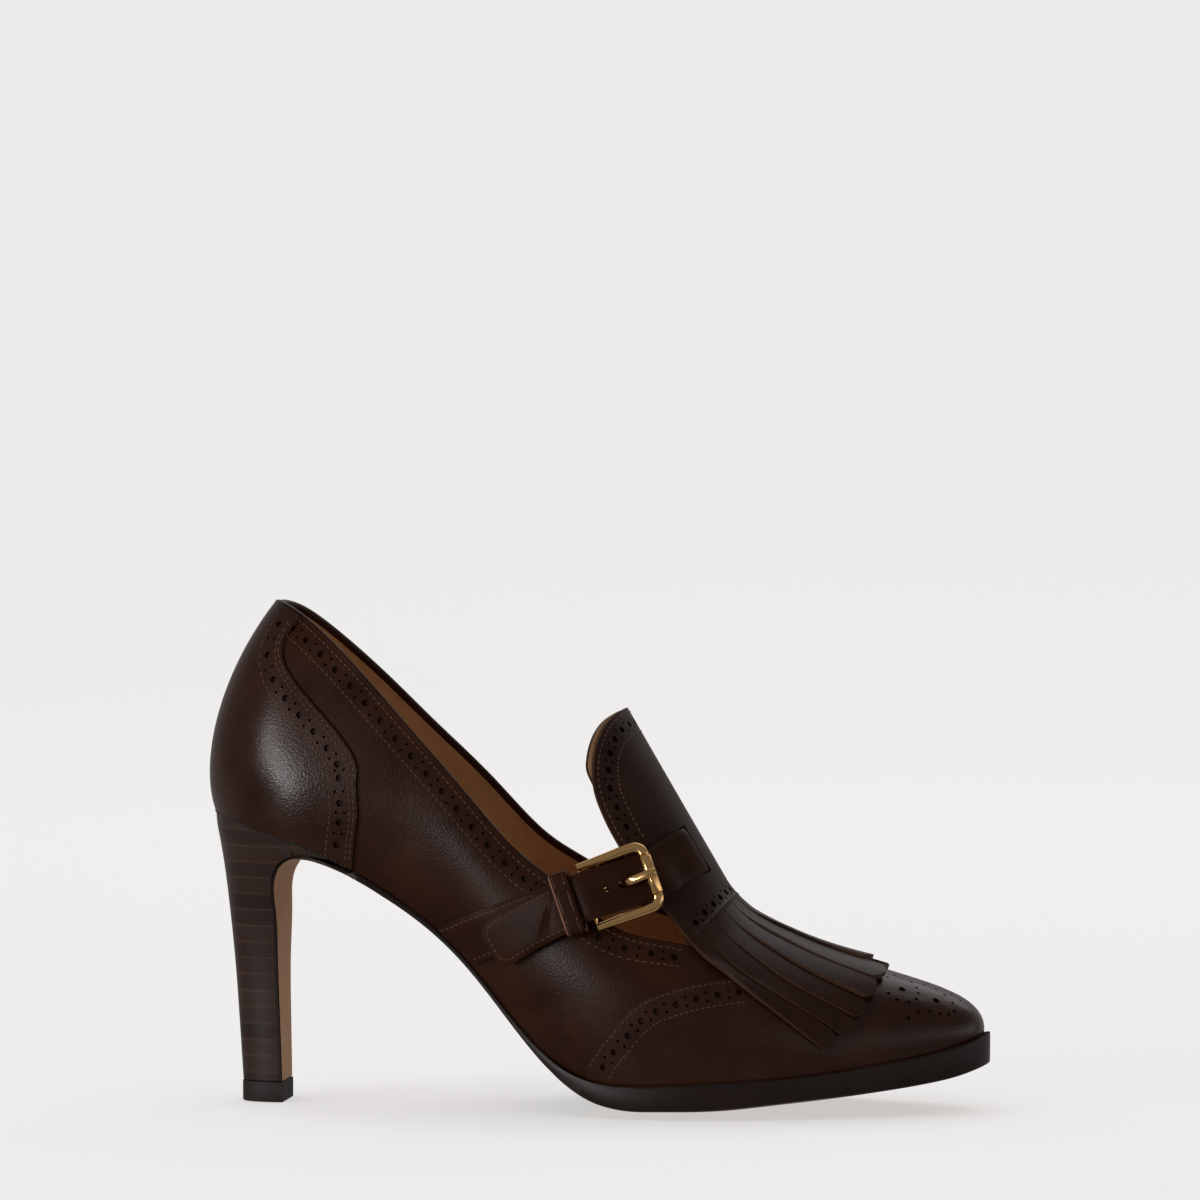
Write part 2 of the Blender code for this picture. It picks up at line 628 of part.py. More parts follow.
def kiltie():
    """Perforated shield on the tongue, cut into strips below the throat, with two slits for the strap."""
    strip = (2 * THROAT_HALF - (FRINGE_STRIPS - 1) * STRIP_GAP) / FRINGE_STRIPS
    left = -THROAT_HALF + np.arange(FRINGE_STRIPS) * (strip + STRIP_GAP)
    shares = np.c_[left, left + strip].ravel() / THROAT_HALF
    low = STRAP_HEIGHT - STRAP_WIDTH / 2 - 0.7
    high = STRAP_HEIGHT + STRAP_WIDTH / 2 + 0.7
    heights = np.array([1.5, 6.5, low, STRAP_HEIGHT, high, 36.0, 46.0, 56.0])
    fringe = np.array([1.0, 0.95, 0.75, 0.5, 0.25, 0.06])
    grid = []
    for i, share in enumerate(shares):
        middle = shares[i - i % 2:i - i % 2 + 2].mean()
        column = []
        for part in fringe:
            edge = share + (middle - share) * (STRIP_POINT if part == 1.0 else 0.0)
            t, u, length = strip_path(edge)
            reach = FRINGE_LENGTH * part
            place = np.interp(reach, length, u), np.interp(reach, length, t)
            column.append(on_wall([place[0]], [place[1]], GAP + FRINGE_LIFT * min(1.0, 2 * part))[0])
        rest = (max(tongue_top(share), heights[-1] + 2.0) - heights[-1]) * np.array([0.5, 1.0])
        column += [kiltie_point(share, up) for up in np.r_[heights, heights[-1] + rest]]
        grid.append(column)
    keep = np.ones((len(shares) - 1, len(grid[0]) - 1), bool)
    keep[1::2, :len(fringe)] = False
    strap_row = len(fringe) + 2
    for index in (FRINGE_STRIPS // 2 - 2, FRINGE_STRIPS // 2 + 2):
        keep[2 * index, strap_row:strap_row + 2] = False
    return sheet("kiltie", grid, KILTIE, 1, KILTIE_LEATHER, keep)


def kiltie_point(share, up):
    """Inner face of the kiltie on the tongue; it lifts over the strap between the slits."""
    across = share * tongue_half([up])[0, 0]
    point, out = tongue(across, up)
    rise = STRAP + 2 * GAP - PRESS
    return point + out * (GAP + rise * under_bridge(across, up))


def buckle_axes():
    """Directions along, across and out of the buckle."""
    yaw, pitch, roll = BUCKLE_TURN
    along = np.array([math.cos(pitch) * math.cos(yaw), math.cos(pitch) * math.sin(yaw), math.sin(pitch)])
    level = np.array([math.sin(yaw), -math.cos(yaw), 0.0])
    rising = np.cross(level, along)
    out = math.cos(roll) * level + math.sin(roll) * rising
    across = np.cross(out, along)
    return along, across, out


def buckle_point(along, across, out):
    axes = buckle_axes()
    return BUCKLE_CENTRE + along * axes[0] + across * axes[1] + out * axes[2]


def ribbon(name, points, normals, half_width, count, slant):
    """Strap along a path of middle points and outward directions; its root is cut at a slant."""
    knots, path = along_path(points)
    directions = cubic(knots, normals)
    grid = []
    for share in (-1, 0, 1):
        where = np.linspace(STRAP_ROOT + slant * share, knots[-1], count)
        ahead = unit(path(where + 0.1) - path(where - 0.1))
        across = unit(np.cross(unit(directions(where)), ahead))
        grid.append(path(where) + across * half_width(where, knots[-1])[:, None] * share)
    grid = np.transpose(np.array(grid), (1, 0, 2))
    return sheet(name, grid, STRAP, 0, STRAP_LEATHER)


def billet_points():
    """Middle line of the billet, from the feather edge up the outer quarter to the buckle's left bar."""
    points, normals = [], []
    for x, z in BILLET_ROUTE:
        u, t = wall_at(x, z, -1)
        out = wall_out([u], [t])[0]
        points.append(wall([u], [t])[0] + out * (GAP + 0.4 + STRAP / 2))
        normals.append(out)
    out = buckle_axes()[2]
    for behind, height in ((7.0, -0.4), (2.8, -0.2)):
        points.append(buckle_point(-BUCKLE_LONG - behind, 0, height))
        normals.append(out)
    return np.array(points), np.array(normals)


def strap_billet():
    """Strap base sewn to the outer quarter."""
    points, normals = billet_points()

    def width(where, end):
        return np.full(len(where), STRAP_WIDTH / 2 - 0.2)
    return ribbon("strap_billet", points, normals, width, 18, -ROOT_SLANT)


def strap_points():
    """Middle line of the strap: inner quarter, tongue, under the bridge, buckle, and back on the billet."""
    points, normals = [], []
    for x, z in BILLET_ROUTE:
        u, t = wall_at(x, z, 1)
        out = wall_out([u], [t])[0]
        points.append(wall([u], [t])[0] + out * (GAP + 0.4 + STRAP / 2))
        normals.append(out)
    mirrored = np.array([1.0, -1.0, 1.0])
    facing = buckle_axes()[2]
    for along, height in ((-BUCKLE_LONG, -0.6), (0.0, -1.5), (BUCKLE_LONG, -2.9)):
        points.append(buckle_point(along, 0, height) * mirrored)
        normals.append(facing * mirrored)
    over = KILTIE + 2 * GAP + STRAP / 2 + 0.15
    under = GAP + STRAP / 2 - PRESS
    for across, height in ((26.0, over + 0.7), (19.5, over + 0.4), (13.0, over + 0.1), (8.0, under), (2.5, under),
                           (-2.5, under), (-8.0, under), (-13.0, over + 0.1), (-19.5, over + 0.5),
                           (-26.0, over + 0.9)):
        point, out = tongue(across, STRAP_HEIGHT)
        points.append(point + out * height)
        normals.append(out)
    for along, height in ((BUCKLE_LONG, -2.9), (BUCKLE_LONG - 5.0, -1.9), (0.0, 0.3),
                          (5.0 - BUCKLE_LONG, 2.4), (-BUCKLE_LONG, 3.3)):
        points.append(buckle_point(along, 0, height))
        normals.append(facing)
    route, outs = billet_points()
    knots, path = along_path(route)
    directions = cubic(knots, outs)
    for share in (0.1, 0.25, 0.4, 0.6, 0.8, 1.0):
        where = knots[-1] - TAIL_LENGTH * share
        out = unit(directions(where))[0]
        ahead = unit(path(where + 0.1) - path(where - 0.1))[0]
        drop = np.cross(ahead, out) * TAIL_DROP * share
        points.append(path(where)[0] + out * TAIL_LIFT + drop)
        normals.append(out)
    return np.array(points), np.array(normals)


def strap():
    """Strap with its blunt tail and the hole for the prong."""
    points, normals = strap_points()

    def width(where, end):
        tail = np.clip((end - where) / TAIL_END, 0, 1)
        return STRAP_WIDTH / 2 - TAIL_TAPER * (1 - tail) ** 1.5
    made = ribbon("strap", points, normals, width, 84, ROOT_SLANT)
    along, across, out = buckle_axes()
    hole = bpy.data.meshes.new("prong_hole")
    work = bmesh.new()
    bmesh.ops.create_cone(work, cap_ends=True, segments=16, radius1=1.0, radius2=1.0, depth=1.0)
    stretch = np.c_[along * 3.4, across * 1.5, out * 8.0]
    for vertex in work.verts:
        vertex.co = ((stretch @ np.array(vertex.co)) + buckle_point(PRONG_HOLE, 0, -0.4) + CENTRE) * MM
    work.normal_update()
    bmesh.ops.recalc_face_normals(work, faces=work.faces)
    work.to_mesh(hole)
    work.free()
    cutter = link("prong_hole", hole, STRAP_LEATHER, cutters)
    cutter.hide_render = True
    cutter.display_type = "WIRE"
    cut = made.modifiers.new("prong_hole", "BOOLEAN")
    cut.operation = "DIFFERENCE"
    cut.object = cutter
    return made


def keeper():
    """Loop round the billet and the strap."""
    points, normals = billet_points()
    knots, path = along_path(points)
    where = knots[-1] - KEEPER_BACK
    along = unit(path(where + 0.1) - path(where - 0.1))[0]
    out = unit(cubic(knots, normals)(where))[0]
    across = unit(np.cross(out, along))
    out = np.cross(along, across)
    middle = path(where)[0] + out * (TAIL_LIFT / 2 + 0.15)
    inner = (STRAP_WIDTH / 2 + 1.2, TAIL_LIFT + 0.8)
    angle = np.linspace(0, 2 * math.pi, 24, endpoint=False)
    round_off = 0.25
    loop_x = np.sign(np.cos(angle)) * np.abs(np.cos(angle)) ** round_off
    loop_z = np.sign(np.sin(angle)) * np.abs(np.sin(angle)) ** round_off
    grid = []
    for share in (-0.5, 0.5):
        flat = middle + along * KEEPER_WIDTH * share
        grid.append(flat + loop_x[:, None] * inner[0] * across + loop_z[:, None] * inner[1] * out)
    grid = np.transpose(np.array(grid), (1, 0, 2))
    return sheet("keeper", grid, KEEPER_LEATHER, 1, STRAP_LEATHER, closed=True)


def wire(name, points, radius, sizes, cyclic, sides):
    """Metal wire along points; sizes scale its radius point by point."""
    curve = bpy.data.curves.new(name, "CURVE")
    curve.dimensions = "3D"
    curve.bevel_depth = radius * MM
    curve.bevel_resolution = sides
    curve.use_fill_caps = True
    spline = curve.splines.new("POLY")
    spline.points.add(len(points) - 1)
    for target, point, size in zip(spline.points, points, sizes):
        target.co = (*((np.asarray(point) + CENTRE) * MM), 1.0)
        target.radius = size
    spline.use_cyclic_u = cyclic
    made = bpy.data.objects.new(name, curve)
    curve.materials.append(GOLD)
    parts.objects.link(made)
    return made


def buckle_frame():
    """Rounded rectangle of wire, thinner on the hinge bar and under the roller."""
    corner_radius = 2.6
    points, sizes = [], []
    for index, (sx, sy) in enumerate(((1, 1), (-1, 1), (-1, -1), (1, -1))):
        centre = (sx * (BUCKLE_LONG - corner_radius), sy * (BUCKLE_WIDE - corner_radius))
        for step in range(5):
            angle = math.radians(index * 90 + step * 22.5)
            points.append(buckle_point(centre[0] + corner_radius * math.cos(angle),
                                       centre[1] + corner_radius * math.sin(angle), 0))
            sizes.append(1.0)
        if index in (1, 3):
            for share in (1, -1):
                side = sy * share * (BUCKLE_WIDE - corner_radius - 0.6)
                points.append(buckle_point(sx * BUCKLE_LONG, side, 0))
                sizes.append(HINGE_BAR)
    return wire("buckle_frame", points, BUCKLE_WIRE, sizes, True, 2)


def buckle_roller():
    """Tube that turns on the buckle's front bar."""
    inner = BUCKLE_WIRE * HINGE_BAR + GAP
    outer = inner + 0.6
    half = BUCKLE_WIDE - 3.6
    along, across, out = buckle_axes()
    steps = 14
    grid = []
    for step in range(steps):
        angle = 2 * math.pi * step / steps
        ring = along * math.cos(angle) + out * math.sin(angle)
        middle = buckle_point(BUCKLE_LONG, 0, 0)
        profile = ((inner, -half), (outer, -half), (outer, half), (inner, half))
        grid.append([middle + ring * r + across * y for r, y in profile])
    faces = []
    for i in range(steps):
        after = (i + 1) % steps
        for j in range(4):
            k = (j + 1) % 4
            faces.append((i * 4 + j, after * 4 + j, after * 4 + k, i * 4 + k))
    mesh = mesh_from("buckle_roller", grid, faces)
    work = bmesh.new()
    work.from_mesh(mesh)
    work.normal_update()
    bmesh.ops.recalc_face_normals(work, faces=work.faces)
    work.to_mesh(mesh)
    work.free()
    mesh.set_sharp_from_angle(angle=SHARP)
    return link("buckle_roller", mesh, GOLD)


def buckle_prong():
    """Prong curled round the hinge bar, up through the strap's hole and onto the roller."""
    thin = 0.55
    radius = 0.95
    curl = BUCKLE_WIRE * HINGE_BAR + GAP + thin
    points, sizes = [], []
    for step in range(9):
        angle = math.radians(60 + step * 32)
        points.append(buckle_point(-BUCKLE_LONG + curl * math.cos(angle), 0, curl * math.sin(angle)))
        sizes.append(thin / radius)
    for along, height, size in ((-7.4, -0.9, 0.8), (-4.0, -1.2, 1.0), (-1.0, -1.35, 1.0), (1.2, -1.0, 1.0),
                                (3.0, -0.1, 1.0), (5.5, 1.4, 1.0), (8.0, 2.5, 1.0),
                                (BUCKLE_LONG, 3.0, 1.0), (12.0, 3.0, 0.85)):
        points.append(buckle_point(along, 0, height))
        sizes.append(size)
    return wire("buckle_prong", points, radius, sizes, False, 1)


for make in (outsole, heel, top_piece, insole, upper, heel_counter, toe_wing, tongue_panel, kiltie,
             strap_billet, strap, keeper, buckle_frame, buckle_roller, buckle_prong):
    make()
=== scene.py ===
import math

import bpy
import numpy as np
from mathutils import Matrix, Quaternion, Vector
from mathutils.geometry import delaunay_2d_cdt
from mathutils.kdtree import KDTree


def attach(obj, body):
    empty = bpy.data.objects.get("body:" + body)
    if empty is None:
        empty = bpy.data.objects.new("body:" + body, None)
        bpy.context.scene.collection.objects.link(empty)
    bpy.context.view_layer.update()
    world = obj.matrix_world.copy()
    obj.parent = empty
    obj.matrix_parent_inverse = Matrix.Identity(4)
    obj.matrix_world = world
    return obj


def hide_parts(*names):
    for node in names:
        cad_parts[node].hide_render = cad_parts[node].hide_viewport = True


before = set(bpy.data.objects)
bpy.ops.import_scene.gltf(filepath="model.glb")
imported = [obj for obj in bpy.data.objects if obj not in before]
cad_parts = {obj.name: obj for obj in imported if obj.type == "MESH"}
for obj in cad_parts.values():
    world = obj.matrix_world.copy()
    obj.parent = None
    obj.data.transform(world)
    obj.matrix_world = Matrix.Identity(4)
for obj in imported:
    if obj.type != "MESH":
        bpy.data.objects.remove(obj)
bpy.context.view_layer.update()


# Sock: the tan leather insole inside the shoe, cut to the feather edge of the last and glued down
# over the insole board. Everything else is pulled over the same last, whose edge is set out here.
MM = 0.001
CENTRE = np.array([0.18, 2.05, 0.0])        # moves the shoe's box over the origin
LAST = (                # x, lateral y, medial y, wall out, wall up, crown out, crown up, toe to heel
    (115.8, -0.5, 0.5, 5.6, 19.2, 6.6, -12.1),
    (115.1, 5.8, 6.6, 5.4, 19.0, 6.4, -11.8),
    (112.0, 11.0, 11.4, 4.6, 18.0, 5.8, -10.5),
    (103.5, 16.8, 16.4, 3.6, 16.5, 5.0, -8.0),
    (87.0, 24.2, 22.8, 2.6, 15.0, 3.6, -3.5),
    (69.0, 31.0, 29.6, 2.6, 15.0, 4.4, -1.0),
    (47.0, 36.2, 35.4, 3.0, 15.5, 5.0, 0.0),
    (25.0, 38.0, 36.8, 3.6, 16.0, 5.0, 0.0),
    (5.0, 35.6, 31.6, 4.5, 18.0, 5.0, 0.0),
    (-14.0, 30.6, 25.0, 5.5, 18.0, 5.0, 0.0),
    (-35.0, 25.8, 21.0, 6.0, 17.0, 4.5, 0.0),
    (-57.0, 24.6, 22.2, 5.0, 17.0, 4.0, 0.0),
    (-79.0, 25.6, 25.0, 4.0, 18.0, 4.5, 0.0),
    (-96.0, 24.0, 24.0, 4.2, 18.0, 6.0, 0.0),
    (-109.5, 14.6, 14.6, 4.8, 15.0, 10.0, -1.0),
    (-116.3, 0.0, 0.0, 5.0, 13.9, 11.9, -1.7),
)
SOLE = (                # x, feather edge z, tread z
    (119.4, 22.8, 15.8), (112.0, 20.4, 12.8), (103.0, 18.0, 10.0), (90.0, 15.5, 7.0), (77.0, 13.4, 4.7),
    (64.0, 11.8, 3.0), (51.0, 10.6, 1.4), (37.0, 9.6, -0.2), (24.0, 9.1, -1.0), (12.0, 9.4, -0.4),
    (3.0, 11.0, 3.0), (-5.3, 14.3, 7.4), (-13.5, 20.4, 15.0), (-24.3, 32.0, 28.2), (-34.5, 44.2, 41.0),
    (-45.0, 54.8, 51.8), (-57.0, 64.0, 61.2), (-70.8, 72.6, 69.9), (-83.0, 78.4, 74.6),
    (-92.7, 81.8, 75.0), (-105.0, 85.9, 75.0), (-118.0, 89.7, 75.0),
)
TOE_BOX, SHANK, HEEL_FRONT = 4, 11, 12      # rows of LAST: throat's end, waist's end, heel's start


def unit(vectors):
    """Vectors scaled to length one."""
    vectors = np.asarray(vectors, float)
    return vectors / np.linalg.norm(vectors, axis=-1, keepdims=True)


def ease(value):
    """Smooth step from 0 to 1."""
    value = np.clip(value, 0, 1)
    return value * value * (3 - 2 * value)


def run(points):
    """Length along a line at each of its points."""
    return np.r_[0, np.cumsum(np.linalg.norm(np.diff(points, axis=0), axis=1))]


def cubic(knots, values):
    """Natural cubic spline through the values at the knots, as a function."""
    x = np.asarray(knots, float)
    y = np.asarray(values, float).reshape(len(x), -1)
    step = np.diff(x)
    count = len(x)
    matrix = np.eye(count)
    right = np.zeros_like(y)
    for i in range(1, count - 1):
        matrix[i, i - 1:i + 2] = step[i - 1], 2 * (step[i - 1] + step[i]), step[i]
        right[i] = 6 * ((y[i + 1] - y[i]) / step[i] - (y[i] - y[i - 1]) / step[i - 1])
    bend = np.linalg.solve(matrix, right)

    def at(where):
        where = np.atleast_1d(np.asarray(where, float))
        i = np.clip(np.searchsorted(x, where, side="right") - 1, 0, count - 2)
        h = step[i][:, None]
        left = (x[i + 1] - where)[:, None]
        rest = (where - x[i])[:, None]
        curve = (bend[i] * left ** 3 + bend[i + 1] * rest ** 3) / (6 * h)
        line = (y[i] / h - bend[i] * h / 6) * left + (y[i + 1] / h - bend[i + 1] * h / 6) * rest
        return curve + line
    return at


outline = np.array([(row[0], (row[1] + row[2]) / 2) for row in LAST])
station_u = run(outline)
station_u = station_u / station_u[-1]
round_last = []
for turn in (-2, 0, 2):
    for u, row in reversed(list(zip(station_u, LAST))[1:]):
        round_last.append((turn - u, row[0], -row[1]) + row[3:])
    for u, row in list(zip(station_u, LAST))[:-1]:
        round_last.append((turn + u, row[0], row[2]) + row[3:])
round_last = np.array(round_last)
last_row = cubic(round_last[:, 0], round_last[:, 1:])
sole_rows = np.array(SOLE)[::-1]
sole_side = cubic(sole_rows[:, 0], sole_rows[:, 1:])


def feather(u):
    """Feather edge and its outward direction; u is 0 at the toe, -1 and 1 at the heel by each side."""
    u = (np.asarray(u, float) + 1) % 2 - 1
    plan = last_row(u)[:, :2]
    ahead = last_row(u + 1e-4)[:, :2] - last_row(u - 1e-4)[:, :2]
    out = unit(np.c_[ahead[:, 1], -ahead[:, 0]])
    return np.c_[plan, sole_side(plan[:, 0])[:, 0]], np.c_[out, np.zeros(len(out))]


WELD = (bpy.ops.mesh.remove_doubles, {"threshold": 0.002 * MM})
SHARP = math.radians(38)    # edges keener than this stay sharp


def pick(*pieces):
    """Selects these pieces alone and makes the last one active."""
    bpy.ops.object.select_all(action="DESELECT")
    for piece in pieces:
        piece.select_set(True)
        bpy.context.view_layer.objects.active = piece


def edit_all(piece, *steps):
    """Runs edit-mode operators over the whole of one piece."""
    pick(piece)
    bpy.ops.object.mode_set(mode="EDIT")
    bpy.ops.mesh.select_all(action="SELECT")
    for step, settings in steps:
        step(**settings)
    bpy.ops.object.mode_set(mode="OBJECT")


def laid_grid(name, columns, rows, place, *looks):
    """Grid primitive with each point moved to its place, from its shares along and across."""
    pick()
    bpy.ops.mesh.primitive_grid_add(x_subdivisions=columns, y_subdivisions=rows, size=2)
    piece = bpy.context.object
    piece.name = piece.data.name = name
    flat = np.zeros(len(piece.data.vertices) * 3)
    piece.data.vertices.foreach_get("co", flat)
    shares = (flat.reshape(-1, 3)[:, :2] + 1) / 2
    points = (place(shares[:, 0], shares[:, 1]) + CENTRE) * MM
    piece.data.vertices.foreach_set("co", points.ravel())
    piece.data.update()
    edit_all(piece, WELD)
    for look in looks:
        piece.data.materials.append(look)
    return piece


def thicken(piece, thickness=0.0, rim_slot=0, inner_slot=0):
    """Applies Solidify inwards, then smooths all but the cut edges."""
    pick(piece)
    if thickness:
        layer = piece.modifiers.new("thickness", "SOLIDIFY")
        layer.thickness = thickness * MM
        layer.offset = -1
        layer.material_offset_rim = rim_slot
        layer.material_offset = inner_slot
        bpy.ops.object.modifier_apply(modifier="thickness")
    bpy.ops.object.shade_smooth_by_angle(angle=SHARP)


def linear(code):
    """Linear colour of an sRGB hex value."""
    values = [int(code[i:i + 2], 16) / 255 for i in (1, 3, 5)]
    return [v / 12.92 if v <= 0.04045 else ((v + 0.055) / 1.055) ** 2.4 for v in values] + [1.0]


def feed(look, node, *values, first=0, **named):
    """Links or fills a node's inputs, in order from the first or by name with underscores for spaces."""
    pairs = [(key.replace("_", " "), value) for key, value in named.items()]
    for key, value in [*enumerate(values, first), *pairs]:
        if isinstance(value, bpy.types.NodeSocket):
            look.node_tree.links.new(value, node.inputs[key])
        else:
            node.inputs[key].default_value = value


def add_node(look, kind, *values, out=0, **named):
    """Adds a node and gives back one output; names in small letters are settings, the others inputs."""
    made = look.node_tree.nodes.new("ShaderNode" + kind)
    for key in [key for key in named if key.islower()]:
        setattr(made, key, named.pop(key))
    feed(look, made, *values, **named)
    return made.outputs[out]


def blend(look, share, low, high):
    """Mix of two colours by a share."""
    made = add_node(look, "Mix", share, data_type="RGBA", out=2)
    feed(look, made.node, low, high, first=6)
    return made


def new_look(name):
    """Empty material and its shader."""
    look = bpy.data.materials.new(name)
    look.use_nodes = True
    return look, look.node_tree.nodes["Principled BSDF"]


def leather(name, deep, light, roughness, coat, pebble, relief, gloss=0.25):
    """Chrome-tanned leather: cloudy dye, a pebbled grain of a size in mm, and a finish that varies."""
    look, shader = new_look(name)
    spot = add_node(look, "TexCoord", out="Object")
    cloud = add_node(look, "TexNoise", Vector=spot, Scale=1 / (18 * MM), Detail=4.0, Roughness=0.6)
    dye = add_node(look, "MapRange", Value=cloud, From_Min=0.3, From_Max=0.72)
    rub = add_node(look, "MapRange", Value=cloud, From_Min=0.25, From_Max=0.75,
                   To_Min=roughness - 0.05, To_Max=roughness + 0.07)
    grain = add_node(look, "TexVoronoi", Vector=spot, Scale=1 / (pebble * MM), Randomness=1.0,
                     feature="SMOOTH_F1")
    soft = add_node(look, "TexNoise", Vector=spot, Scale=1 / (3.2 * MM), Detail=3.0)
    height = add_node(look, "Math", soft, 0.35, grain, operation="MULTIPLY_ADD")
    bump = add_node(look, "Bump", Height=height, Strength=0.5, Distance=relief * MM)
    feed(look, shader, Base_Color=blend(look, dye, linear(deep), linear(light)), Roughness=rub,
         Normal=bump, Specular_IOR_Level=gloss, Coat_Weight=coat, Coat_Roughness=0.28)
    return look


SOCK_INSET = 2.4            # in from the feather edge
SOCK_THICK = 2.0


def sock_face(along, across):
    u = 0.012 + 0.966 * along
    lateral, out_l = feather(-u)
    medial, out_m = feather(u)
    left = lateral - out_l * SOCK_INSET
    right = medial - out_m * SOCK_INSET
    point = left + (right - left) * across[:, None]
    point[:, 2] = sole_side(point[:, 0])[:, 0] + SOCK_THICK
    return point


# Vegetable-tanned lining leather: pale tan, nearly matt, with a faint fine grain.
lining_look = leather("tan_lining_leather", "#C49568", "#D6A97C", 0.5, 0.0, 0.6, 0.03)
sock = laid_grid("sock", 110, 14, sock_face, lining_look)
edit_all(sock, (bpy.ops.mesh.flip_normals, {}))
thicken(sock, SOCK_THICK - 0.2)
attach(sock, "root")
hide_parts("insole")


# Upper: vamp and quarters of dark brown calf, cut flat, punched with brogue holes along the topline,
# stitched, then pulled over the last and under the feather edge.
THROAT = np.array([41.3, 0.0, 62.2])        # middle of the throat, where the tongue leaves the vamp
THROAT_HALF = 34.0
RIDGE_SLOPE = math.radians(59.7)
TOPLINE = (             # row of LAST, x, y, lateral z, medial z
    (5, 24.5, 32.6, 53.0, 55.5), (6, 14.5, 35.0, 55.3, 58.0), (7, 4.5, 34.8, 60.6, 63.2),
    (8, -7.0, 33.0, 69.5, 71.6), (9, -20.5, 30.8, 79.6, 80.6), (10, -36.5, 28.9, 97.0, 97.2),
    (11, -54.0, 26.8, 116.3, 114.4), (12, -70.5, 23.2, 134.0, 131.0), (13, -84.0, 17.0, 146.0, 143.8),
    (14, -93.0, 9.2, 151.4, 151.0), (15, -97.0, 0.0, 152.8, 152.8),
)
UPPER_THICK = 1.1
PATTERN = np.array([285.0, 60.0])           # flat pattern millimetres for one unit of u and of t
corner_u = station_u[TOE_BOX]
ridge_along = np.array([-math.cos(RIDGE_SLOPE), 0.0, math.sin(RIDGE_SLOPE)])
ridge_out = np.array([math.sin(RIDGE_SLOPE), 0.0, math.cos(RIDGE_SLOPE)])
medial_way = np.array([0.0, 1.0, 0.0])
instep_radius = cubic((-10.0, 0.0, 18.0, 36.0, 54.0, 75.0), (41.0, 40.0, 35.0, 31.5, 31.5, 33.0))


def instep(across, up):
    """Front of the instep and its outward direction, by lengths across and up from the throat."""
    radius = instep_radius(up)[:, 0]
    turn = across / radius
    sag = radius * (1 - np.cos(turn))
    side = radius * np.sin(turn)
    point = THROAT + up[:, None] * ridge_along - sag[:, None] * ridge_out + side[:, None] * medial_way
    return point, np.cos(turn)[:, None] * ridge_out + np.sin(turn)[:, None] * medial_way


def throat_line(across):
    """Where the instep meets the vamp, as a length up the instep."""
    return -4.7 * (np.asarray(across, float) / THROAT_HALF) ** 2


back_rows = []
corner = instep(np.array([-THROAT_HALF]), throat_line([THROAT_HALF]))[0][0]
for sign in (-1, 1):
    half = [(1 - corner_u, corner[0], -corner[1], corner[2])]
    for row, x, y, lateral_z, medial_z in TOPLINE:
        half.append((1 - station_u[row], x, y, lateral_z if sign < 0 else medial_z))
    if sign < 0:
        back_rows += [(-s, x, -y, z) for s, x, y, z in half]
    else:
        back_rows += [(s, x, y, z) for s, x, y, z in reversed(half[:-1])]
back_rows = np.array(back_rows)
back_topline = cubic(back_rows[:, 0], back_rows[:, 1:])


def wall(u, t):
    """Outer face of the upper; t runs up from the feather edge to the topline."""
    u = (np.asarray(u, float) + 1) % 2 - 1
    t = np.asarray(t, float)[:, None]
    foot, out = feather(u)
    back = back_topline(np.where(u < 0, -(1 + u), 1 - u))
    across = np.clip(u / corner_u, -1, 1) * THROAT_HALF
    front = instep(across, throat_line(across))[0]
    top = np.where((np.abs(u) <= corner_u)[:, None], front, back)
    pull = last_row(u)[:, 2:]
    upward = np.array([0.0, 0.0, 1.0])
    low = foot + out * pull[:, 0:1] + upward * pull[:, 1:2]
    high = top + (foot - top) / 3 + out * pull[:, 2:3] + upward * pull[:, 3:4]
    s = 1 - t
    return s ** 3 * foot + 3 * s * s * t * low + 3 * s * t * t * high + t ** 3 * top


def off_wall(u, t, height):
    """Points off the wall by a height."""
    step = 1e-3
    round_foot = wall(u + step, t) - wall(u - step, t)
    upward = wall(u, t + step) - wall(u, t - step)
    return wall(u, t) + unit(np.cross(round_foot, upward)) * np.reshape(height, (-1, 1))


def slopes(place, flat):
    """How the leather runs at pattern points: its two directions and the way out."""
    step = 0.05
    by_x = (place(flat + [step, 0]) - place(flat - [step, 0])) / (2 * step)
    by_y = (place(flat + [0, step]) - place(flat - [0, step])) / (2 * step)
    return by_x, by_y, unit(np.cross(by_x, by_y))


def flat_step(by_x, by_y, step):
    """Step in the flat pattern that gives a step on the leather."""
    a, b, c = (by_x * by_x).sum(1), (by_x * by_y).sum(1), (by_y * by_y).sum(1)
    p, q = (by_x * step).sum(1), (by_y * step).sum(1)
    return np.c_[c * p - b * q, a * q - b * p] / (a * c - b * b)[:, None]


def between(where, knots, table):
    """Rows of a table at places between its knots."""
    return np.transpose([np.interp(where, knots, column) for column in np.transpose(table)])


def spots_along(place, edge, inset, pitch, shift=0.0):
    """Pattern points at a pitch along an edge, moved in to the edge's left by a distance."""
    edge = np.asarray(edge, float)
    line = place(edge)
    length = run(line)
    count = max(int(round(length[-1] / pitch)), 1)
    where = (np.arange(count) + 0.5 + shift) * length[-1] / count
    flat = between(where, length, edge)
    ahead = between(where + 0.6, length, line) - between(where - 0.6, length, line)
    for _ in range(5):
        by_x, by_y, out = slopes(place, flat)
        flat = flat + flat_step(by_x, by_y, unit(np.cross(out, ahead)) * inset / 5)
    return flat


def punched(place, centres, radius, sides):
    """Outlines of round holes on the leather, as loops in the flat pattern."""
    by_x, by_y, out = slopes(place, centres)
    first = unit(by_x)
    second = np.cross(out, first)
    loops = []
    for turn in np.arange(sides) * 2 * math.pi / sides:
        rim = radius * (math.cos(turn) * first + math.sin(turn) * second)
        loops.append(centres + flat_step(by_x, by_y, rim))
    return list(np.transpose(np.array(loops), (1, 0, 2)))


